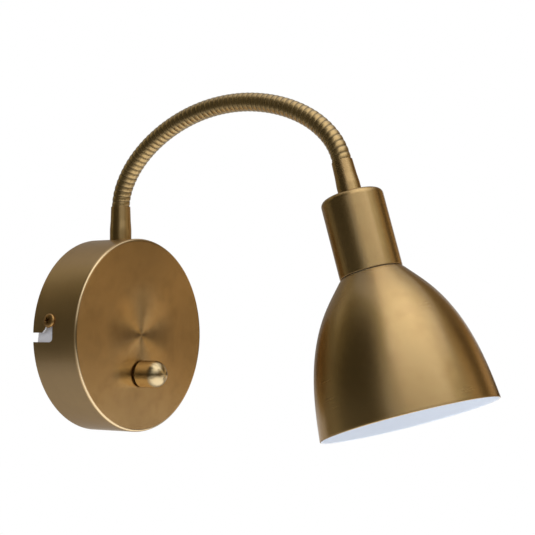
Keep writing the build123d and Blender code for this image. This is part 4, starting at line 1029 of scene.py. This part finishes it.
class LAMP_OT_neck(bpy.types.Operator):
    """Neck: the wound hose in eleven stretches, each laid over one joint between links"""

    bl_idname = "lamp.neck"
    bl_label = "Neck"

    def execute(self, context):
        sizes = context.scene.lamp_sizes
        for joint in range(1, LINKS):
            start = (joint - 0.5) * LINK_LENGTH if joint > 1 else -HOSE_TUCK
            end = (joint + 0.5) * LINK_LENGTH if joint < LINKS - 1 else NECK_LENGTH + HOSE_TUCK
            count = int((end - start) / (RIB_PITCH / STEPS_PER_TURN)) + 1
            steps = [start + (end - start) * step / count for step in range(count + 1)]
            points = [neck_point(distance) * MM for distance in steps]
            edges = [(index, index + 1) for index in range(count)]
            piece = grow(
                f"hose_stretch_{joint:02d}", trees["winding"], points, edges, Start=start * MM,
                Pitch=sizes.hose_pitch, Radius=sizes.hose_radius, Groove=sizes.hose_groove, Steps=count + 1,
                Sides=sizes.hose_sides, Finish=finishes["hose"],
            )
            self.check_outwards(piece)
            lead_in = neck_point((joint - 0.5) * LINK_LENGTH) * MM
            lead_out = neck_point((joint + 0.5) * LINK_LENGTH) * MM
            nodes = [f"hose_link_{joint:02d}"] + (["hose_link_12"] if joint == LINKS - 1 else [])
            if joint in FAR_END_FIRST:
                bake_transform(piece)
            else:
                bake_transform(piece)
            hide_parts(*nodes)
        return {"FINISHED"}

    def check_outwards(self, piece):
        """Turns the stretch's faces out of its bore if they point into it."""
        face = piece.data.polygons[len(piece.data.polygons) // 2]
        centres = [neck_point(step) * MM for step in range(-8, int(NECK_LENGTH) + 8)]
        nearest = min(centres, key=lambda centre: (centre - face.center).length)
        if face.normal.dot(face.center - nearest) < 0:
            piece.data.flip_normals()


class LAMP_OT_cup(bpy.types.Operator):
    """Cup: the drawn cylinder over the lampholder"""

    bl_idname = "lamp.cup"
    bl_label = "Cup"

    def execute(self, context):
        outline = eased([
            (STEM_HOLE, 0.0), (CUP_RADIUS, 0.0, 3.0), (CUP_RADIUS, CUP_LENGTH, 0.5),
            (CUP_RADIUS - SHEET, CUP_LENGTH, 0.2), (CUP_RADIUS - SHEET, SHEET, 2.2), (STEM_HOLE, SHEET),
        ], steps=9)
        sides = context.scene.lamp_sizes.turned_sides
        cup = turn_piece("holder_cup_drawn", outline, HEAD, finishes["head"], sides)
        settle(cup, "lamp_head", "holder_cup", slot="satin_brass")
        return {"FINISHED"}


def fair_curve(points, first_slope, last_slope, steps):
    """A smooth cubic through points, with the given end directions, cut into even steps."""
    count = len(points)
    knots = [0.0]
    for before, after in zip(points, points[1:]):
        knots.append(knots[-1] + math.dist(before, after))
    gaps = [b - a for a, b in zip(knots, knots[1:])]
    slopes = []
    for axis in range(2):
        lower, middle, upper, right = [0.0] * count, [1.0] * count, [0.0] * count, [0.0] * count
        right[0], right[-1] = first_slope[axis], last_slope[axis]
        for k in range(1, count - 1):
            lower[k], upper[k] = gaps[k], gaps[k - 1]
            middle[k] = 2 * (gaps[k] + gaps[k - 1])
            rise = (points[k][axis] - points[k - 1][axis]) / gaps[k - 1]
            fall = (points[k + 1][axis] - points[k][axis]) / gaps[k]
            right[k] = 3 * (gaps[k] * rise + gaps[k - 1] * fall)
        for k in range(1, count):
            share = lower[k] / middle[k - 1]
            middle[k] -= share * upper[k - 1]
            right[k] -= share * right[k - 1]
        result = [0.0] * count
        result[-1] = right[-1] / middle[-1]
        for k in range(count - 2, -1, -1):
            result[k] = (right[k] - upper[k] * result[k + 1]) / middle[k]
        slopes.append(result)
    curve = []
    for step in range(steps + 1):
        place = knots[-1] * step / steps
        k = min(max(sum(1 for knot in knots[1:-1] if knot <= place), 0), count - 2)
        t = (place - knots[k]) / gaps[k]
        weights = (
            2 * t**3 - 3 * t**2 + 1, (t**3 - 2 * t**2 + t) * gaps[k],
            -2 * t**3 + 3 * t**2, (t**3 - t**2) * gaps[k],
        )
        curve.append(tuple(
            weights[0] * points[k][axis] + weights[1] * slopes[axis][k]
            + weights[2] * points[k + 1][axis] + weights[3] * slopes[axis][k + 1]
            for axis in range(2)
        ))
    return curve


class LAMP_OT_shade(bpy.types.Operator):
    """Shade: the spun bell, brass outside and white enamel inside, with a rounded lip"""

    bl_idname = "lamp.shade"
    bl_label = "Shade"

    # The bell's slope at its shoulder and at its rim, in degrees off the axis, and the way that its lip points
    SHOULDER_WAY = 40
    RIM_WAY = 5
    CURVE_STEPS = 56
    LIP = Vector((0.087, 0.996))
    LIP_STEPS = 8

    def off_axis(self, degrees):
        """A direction (out, down) at this angle off the shade's axis."""
        return math.sin(math.radians(degrees)), math.cos(math.radians(degrees))

    def execute(self, context):
        shoulder, rim = self.off_axis(self.SHOULDER_WAY), self.off_axis(self.RIM_WAY)
        outer = [Vector(point) for point in fair_curve(BELL, shoulder, rim, self.CURVE_STEPS)]
        inner = []
        for index, point in enumerate(outer):
            along = (outer[min(index + 1, len(outer) - 1)] - outer[max(index - 1, 0)]).normalized()
            inner.append(point + Vector((-along.y, along.x)) * SHEET)
        middle, half = (outer[-1] + inner[-1]) / 2, (outer[-1] - inner[-1]) / 2
        drop = self.LIP * (SHEET / 2)
        angles = [math.pi * step / self.LIP_STEPS for step in range(1, self.LIP_STEPS)]
        lip = [middle + half * math.cos(angle) + drop * math.sin(angle) - drop for angle in angles]
        body = outer[1:-1] + [outer[-1] - drop]
        lining = [*inner[:-1], inner[-1] - drop]
        lining = [point for point in reversed(lining) if point.x > SHADE_HOLE + 0.55 and point.y > SHEET]
        top = [Vector((SHADE_HOLE, 0.0)), Vector((15.9, 0.0)), Vector((16.35, 0.03))]
        points = [*top, *body, *lip, *lining, Vector((SHADE_HOLE, SHEET))]
        outline = [Vector((point.x, point.y + SHADE_TOP)) for point in points]
        first_lined = len(top) + len(body) + self.LIP_STEPS // 2
        shade = turn_piece(
            "lampshade_spun", outline, HEAD, finishes["head"], 224, finishes["enamel"],
            lined=range(first_lined, len(outline) - 1),
        )
        settle(shade, "lamp_head", "lampshade", slot="satin_brass")
        return {"FINISHED"}


class LAMP_OT_lampholder(bpy.types.Operator):
    """Lampholder: its moulded body and the fluted ring that clamps the shade"""

    bl_idname = "lamp.lampholder"
    bl_label = "Lampholder"

    def execute(self, context):
        body = eased([
            (STEM_HOLE, 4.0), (13.0, 4.0, 0.8), (13.0, 40.7), (15.0, 40.7, 0.3), (15.0, SHADE_TOP), (13.0, SHADE_TOP),
            (13.0, 48.5, 0.4), (8.2, 48.5, 0.4), (8.2, 24.0), (11.0, 24.0), (11.0, 8.0), (STEM_HOLE, 8.0),
        ])
        holder = turn_piece("holder_body_moulded", body, HEAD, finishes["ivory"], sides=96)
        settle(holder, "lamp_head", "holder_body", slot="ivory_plastic")
        foot = SHADE_TOP + SHEET
        rim = foot + 4.0
        ring = eased([(SHADE_HOLE, foot), (RING_RADIUS, foot, 0.3), (RING_RADIUS, rim, 0.8), (SHADE_HOLE, rim, 0.3)])
        clamp = turn_piece(
            "shade_ring_moulded", ring, HEAD, finishes["ivory"], sides=240, flutes=30, depth=0.22,
            beyond=RING_RADIUS - 0.25,
        )
        settle(clamp, "lamp_head", "shade_ring", slot="ivory_plastic")
        return {"FINISHED"}


class LAMP_OT_bulb(bpy.types.Operator):
    """Bulb: the opal globe on its flared base, with a rolled screw cap"""

    bl_idname = "lamp.bulb"
    bl_label = "Bulb"

    def execute(self, context):
        centre, radius, wall, neck = 81.5, 22.5, 1.2, 9.5
        cut = math.degrees(math.acos(-neck / radius))
        inner_cut = math.degrees(math.acos(-neck / (radius - wall)))
        globe = arc(centre, radius, cut, 0, 44) + arc(centre, radius - wall, 0, inner_cut, 30)
        opal = turn_piece("bulb_globe_blown", globe, HEAD, finishes["opal"], sides=128)
        settle(opal, "lamp_head", "bulb_globe", slot="opal_plastic")
        base = eased([
            (6.5, 45.0), (6.5, 49.0), (11.0, 49.0, 0.6), (16.6, 54.4, 7.0), (20.396, 71.7, 0.3), (20.2, 72.0),
            (17.98, 72.0), (14.2, 54.4, 5.0), (5.3, 50.2), (5.3, 45.0),
        ], steps=8)
        flare = turn_piece("bulb_base_moulded", base, HEAD, finishes["white"], sides=128)
        settle(flare, "lamp_head", "bulb_base", slot="white_plastic")
        cap = [(2.4, 27.5), (6.6, 31.2)]
        turns, steps = 5, 8
        for step in range(turns * steps + 1):
            height = 32.0 + 14.0 * step / (turns * steps)
            cap.append((6.62 + 0.36 * math.cos(TAU * step / steps), height))
        cap += [
            (6.6, 47.2), (7.0, 47.6), (7.0, 49.0), (6.5, 49.0), (6.5, 47.6), (6.1, 47.0), (6.1, 32.0),
            (0.0, 29.5), (0.0, 27.5),
        ]
        screw_cap = turn_piece("bulb_cap_rolled", cap, HEAD, finishes["nickel"], sides=96)
        settle(screw_cap, "lamp_head", "bulb_cap", slot="nickel")
        return {"FINISHED"}


class LAMP_OT_side_screws(bpy.types.Operator):
    """Side screws: two domed heads with a cross recess, on their shanks"""

    bl_idname = "lamp.side_screws"
    bl_label = "Side Screws"

    # The head's rise, the size of the recess at its top, and how far the cross is turned, in degrees
    DOME = 1.95
    RECESS_LENGTH = 4.6
    RECESS_WIDTH = 1.05
    TURNED = 20

    def execute(self, context):
        angles = [math.radians(6 * step) for step in range(14)]
        outline = [(SCREW_HEAD * math.sin(a), 0.25 + self.DOME * math.cos(a)) for a in angles]
        outline += [(SCREW_HEAD, 0.3), (SCREW_HEAD - 0.05, 0.0), (SCREW_SHANK, 0.0)]
        for turn in range(9):
            outline += [(SCREW_SHANK, -0.4 - turn * 0.8), (1.65, -0.75 - turn * 0.8)]
        outline += [(1.4, -8.0), (0.0, -8.0)]
        head = turn_piece("cross head screw", outline, Matrix.Identity(4), finishes["screw"], sides=48)
        recess = bmesh.new()
        for turn in (0.0, 90.0):
            made = bmesh.ops.create_cube(recess, size=1.0)["verts"]
            for vert in made:
                top = vert.co.z > 0
                vert.co.x *= self.RECESS_LENGTH * MM * (1.0 if top else 0.55)
                vert.co.y *= self.RECESS_WIDTH * MM * (1.0 if top else 0.6)
                vert.co.z = (2.6 if top else 0.75) * MM
            turned = Matrix.Rotation(math.radians(turn + self.TURNED), 3, "Z")
            bmesh.ops.rotate(recess, verts=made, matrix=turned)
        cut_away(head, "cross recess", recess, in_itself=True)
        shape = bmesh_of(head.data)
        crisp_edges(shape, 30.0)
        put_back(shape, head.data)
        tilt = math.asin(SCREW_HEIGHT / CANOPY_RADIUS)
        facing = [Vector((side * math.cos(tilt), 0, math.sin(tilt))) for side in (-1, 1)]
        points = [(direction * CANOPY_RADIUS + Vector((0, -SCREW_DEPTH, 0))) * MM for direction in facing]
        screws = grow(
            "canopy_screws_turned", trees["fasteners"], points, [], {"facing": ("FLOAT_VECTOR", facing)},
            Fastener=head, Finish=finishes["screw"],
        )
        bpy.data.objects.remove(head)
        settle(screws, "wall_base", "canopy_screws", slot="polished_brass")
        return {"FINISHED"}


class LAMP_OT_fittings(bpy.types.Operator):
    """Fittings: plate, terminals, dimmer, nuts, washers, contacts and wires, with their edges broken"""

    bl_idname = "lamp.fittings"
    bl_label = "Fittings and Wires"

    MADE_OF = {
        "zinc": ("wall_plate", "base_washer", "base_lock_nut", "base_nipple", "head_nipple", "head_lock_nut",
                 "earth_screw", "terminal_screws", "dimmer_washer", "dimmer_nut", "shaft_clip", "dimmer_shaft"),
        "bare brass": ("earth_tag", "terminal_tubes", "dimmer_bush", "holder_contacts", "screw_shell"),
        "white": ("terminal_block", "switch_slider"),
        "ceramic": ("holder_insert",),
        "black": ("dimmer_housing", "dimmer_cover"),
        "board": ("dimmer_board",),
        "led board": ("bulb_board",),
        "solder": ("bulb_tip_contact",),
        "white sheath": ("flex_lower", "flex_upper"),
        "blue": ("wire_neutral",),
        "brown": ("wire_switched", "wire_live", "head_cores"),
        "green and yellow": ("wire_earth",),
    }
    ROUND = ("flex_lower", "flex_upper", "wire_neutral", "wire_switched", "wire_live", "head_cores", "wire_earth")

    def execute(self, context):
        edge = context.scene.lamp_sizes.edge_break / MM
        for finish, nodes in self.MADE_OF.items():
            for node in nodes:
                fine_copy(node, finishes[finish], bevel=0.0 if node in self.ROUND else edge)
        return {"FINISHED"}


WHITE = (1.0, 1.0, 1.0)
OLIVE = (1.0, 0.9, 0.6)
WARM = (1.0, 0.75, 0.44)
# What the brass mirrors. Each panel has its place in degrees round from the camera and up from the level and
# in metres from the lamp, its width and height in metres, how bright it is beside white, and its colour.
PANELS = (
    (-60, 20, 0.41, 0.60, 0.82, 0.055, OLIVE),
    (-85, -8, 1.3, 2.2, 0.9, 0.17, OLIVE),
    (-75, 36, 1.3, 2.2, 1.15, 0.80, OLIVE),
    (-118, 4, 1.29, 0.60, 1.0, 0.23, OLIVE),
    (15, 21, 1.3, 1.5, 0.5, 0.85, WHITE),
    (121, 20, 1.3, 1.45, 1.15, 0.30, WARM),
    (72, 19, 1.3, 0.76, 0.72, 0.46, OLIVE),
    (-164, 22, 1.3, 2.0, 1.5, 0.38, WHITE),
    (20, -2, 1.3, 3.6, 0.56, 0.11, OLIVE),
    # The canopy's flat front mirrors the rest: bright ones for its shining cross, dark ones between its arms.
    (108, -2, 1.2, 0.51, 0.27, 0.50, WARM),
    (128, 9, 1.2, 0.42, 0.25, 1.0, WARM),
    (128, -13, 1.2, 0.42, 0.25, 1.0, WARM),
    (88, 15, 1.2, 0.34, 0.34, 1.0, WARM),
    (88, -19, 1.2, 0.34, 0.34, 1.0, WARM),
    (76, -2, 1.19, 0.78, 0.23, 0.04, WARM),
    (138, -2, 1.19, 0.78, 0.23, 0.04, WARM),
    (111.5, 19, 1.19, 0.23, 0.55, 0.04, WARM),
    (113, -28, 0.6, 0.12, 0.18, 0.04, WARM),
)


class LAMP_OT_stage(bpy.types.Operator):
    """Stage: a pale floor, soft boxes, the panels that the brass mirrors, and the camera"""

    bl_idname = "lamp.stage"
    bl_label = "Stage"

    # Where the camera stands in metres, which way it looks, its roll in degrees, and its film and lens in millimetres
    CAMERA = Vector((-0.6278, -0.5636, 0.0093))
    AIM = Vector((0.8160, 0.5770, 0.0355))
    ROLL = -0.09
    SENSOR = 36.0
    LENS = 96.63
    # The lamp's middle, in metres
    MIDDLE = Vector((0.0, -0.12, 0.03))

    def execute(self, context):
        scene = context.scene
        self.add_floor()
        self.light_world(scene)
        below = self.MIDDLE + self.towards(62, 0) * 0.26 + Vector((0, 0, -0.36))
        self.add_light("front soft box", self.facing(30, 51, 1.5), 2.3, 1.2, 1.0)
        self.add_light("overhead soft box", self.facing(85, 82, 1.5), 1.1, 0.9, 0.9)
        self.add_light("soft box below", Matrix.Translation(below) @ Matrix.Rotation(math.pi, 4, "X"), 0.86, 0.70, 1.25)
        for azimuth, rise, distance, width, height, level, colour in PANELS:
            self.add_panel("panel", self.facing(azimuth, rise, distance), width, height, level, colour)
        camera = bpy.data.cameras.new("camera")
        camera.sensor_width = self.SENSOR
        camera.lens = self.LENS
        camera.clip_start = 0.01
        view = new_object("camera", camera)
        turn = self.AIM.to_track_quat("-Z", "Y").to_matrix().to_4x4()
        roll = Matrix.Rotation(math.radians(self.ROLL), 4, "Z")
        view.matrix_world = Matrix.Translation(self.CAMERA) @ turn @ roll
        scene.camera = view
        scene.view_settings.view_transform = "Standard"
        return {"FINISHED"}

    def towards(self, azimuth, rise):
        """A direction from the lamp, in degrees round from the camera to its right and up from the level."""
        turn, lift = math.radians(azimuth), math.radians(rise)
        back = Vector((-self.AIM.x, -self.AIM.y, 0)).normalized()
        right = Vector((self.AIM.y, -self.AIM.x, 0)).normalized()
        return (back * math.cos(turn) + right * math.sin(turn)) * math.cos(lift) + Vector((0, 0, math.sin(lift)))

    def facing(self, azimuth, rise, distance):
        """A place at this distance from the lamp, turned to face it."""
        out = self.towards(azimuth, rise)
        return Matrix.Translation(self.MIDDLE + out * distance) @ out.to_track_quat("Z", "Y").to_matrix().to_4x4()

    def add_light(self, name, place, width, height, level):
        """A lamp that looks this bright beside white, hidden from the camera itself."""
        light = bpy.data.lights.new(name, "AREA")
        light.shape = "RECTANGLE"
        light.size, light.size_y = width, height
        light.energy = level * math.pi * width * height
        lamp = new_object(name, light)
        lamp.matrix_world = place
        lamp.visible_camera = False

    def add_panel(self, name, place, width, height, level, colour):
        """A panel this bright beside white that is seen only in what mirrors it."""
        finish, bench = new_finish(name)
        glow = bench.node("ShaderNodeEmission", None, {"Color": (*colour, 1), "Strength": level})
        bench.node("ShaderNodeOutputMaterial", None, {"Surface": glow})
        shape = bmesh.new()
        bmesh.ops.create_grid(shape, x_segments=2, y_segments=2, size=0.5)
        bmesh.ops.scale(shape, verts=shape.verts, vec=(width, height, 1))
        bmesh.ops.transform(shape, verts=shape.verts, matrix=place)
        panel = new_object(name, new_mesh(name, shape))
        panel.data.materials.append(finish)
        for sight in ("camera", "diffuse", "transmission", "shadow"):
            setattr(panel, "visible_" + sight, False)

    def add_floor(self):
        """A round white floor under the lamp that thins out to nothing at its edge."""
        finish, bench = new_finish("pale floor")
        place = bench.own_place()
        x, y, _ = bench.split(place)
        y = y + 0.1
        distance = (x * x + y * y) ** 0.5
        cloud = bench.noise(place, 6.0, 2.0, 0.5)
        paint = bench.tint((0.88, 0.88, 0.88), 1.0 + (cloud - 0.5) * 0.02)
        pale = bench.node("ShaderNodeBsdfDiffuse", None, {"Color": paint})
        clear = bench.node("ShaderNodeBsdfTransparent")
        edge = bench.node("ShaderNodeMixShader", None, {0: distance.ease(0.9, 1.5), 1: pale, 2: clear})
        bench.node("ShaderNodeOutputMaterial", None, {"Surface": edge})
        shape = bmesh.new()
        bmesh.ops.create_circle(shape, cap_ends=True, radius=1.55, segments=96)
        bmesh.ops.translate(shape, verts=shape.verts, vec=(0, -0.1, -0.35))
        floor = new_object("floor", new_mesh("floor", shape))
        floor.data.materials.append(finish)

    def light_world(self, scene):
        """White wherever the camera, brass or glass looks, and softer as a light."""
        world = bpy.data.worlds.new("studio")
        scene.world = world
        world.use_nodes = True
        world.node_tree.nodes.clear()
        bench = Bench(world.node_tree)
        path = bench.node("ShaderNodeLightPath")
        seen = (path + path.other("Is Glossy Ray") + path.other("Is Transmission Ray")).at_most(1.0)
        strength = 0.5 + seen * 0.5
        background = bench.node("ShaderNodeBackground", None, {"Color": (1, 1, 1, 1), "Strength": strength})
        bench.node("ShaderNodeOutputWorld", None, {"Surface": background})


class LAMP_PT_pieces(bpy.types.Panel):
    """Lists the lamp's pieces with their sizes and finishes"""

    bl_label = "Wall Lamp"
    bl_space_type = "VIEW_3D"
    bl_region_type = "UI"
    bl_category = "Wall Lamp"

    def draw(self, context):
        for group in (context.scene.lamp_sizes, context.scene.lamp_look):
            column = self.layout.column()
            for name in group.__annotations__:
                column.prop(group, name)
        for step in STEPS:
            self.layout.operator(step.bl_idname)


STEPS = (
    LAMP_OT_prepare, LAMP_OT_canopy, LAMP_OT_side_screws, LAMP_OT_knob, LAMP_OT_sleeves, LAMP_OT_neck,
    LAMP_OT_cup, LAMP_OT_shade, LAMP_OT_lampholder, LAMP_OT_bulb, LAMP_OT_fittings, LAMP_OT_stage,
)
CLASSES = (LampSizes, LampLook, *STEPS, LAMP_PT_pieces)


def register():
    for entry in CLASSES:
        bpy.utils.register_class(entry)
    bpy.types.Scene.lamp_sizes = bpy.props.PointerProperty(type=LampSizes)
    bpy.types.Scene.lamp_look = bpy.props.PointerProperty(type=LampLook)


def unregister():
    del bpy.types.Scene.lamp_look
    del bpy.types.Scene.lamp_sizes
    for entry in reversed(CLASSES):
        bpy.utils.unregister_class(entry)


def main():
    register()
    for step in STEPS:
        group, name = step.bl_idname.split(".")
        getattr(getattr(bpy.ops, group), name)()


if __name__ == "__main__":
    main()
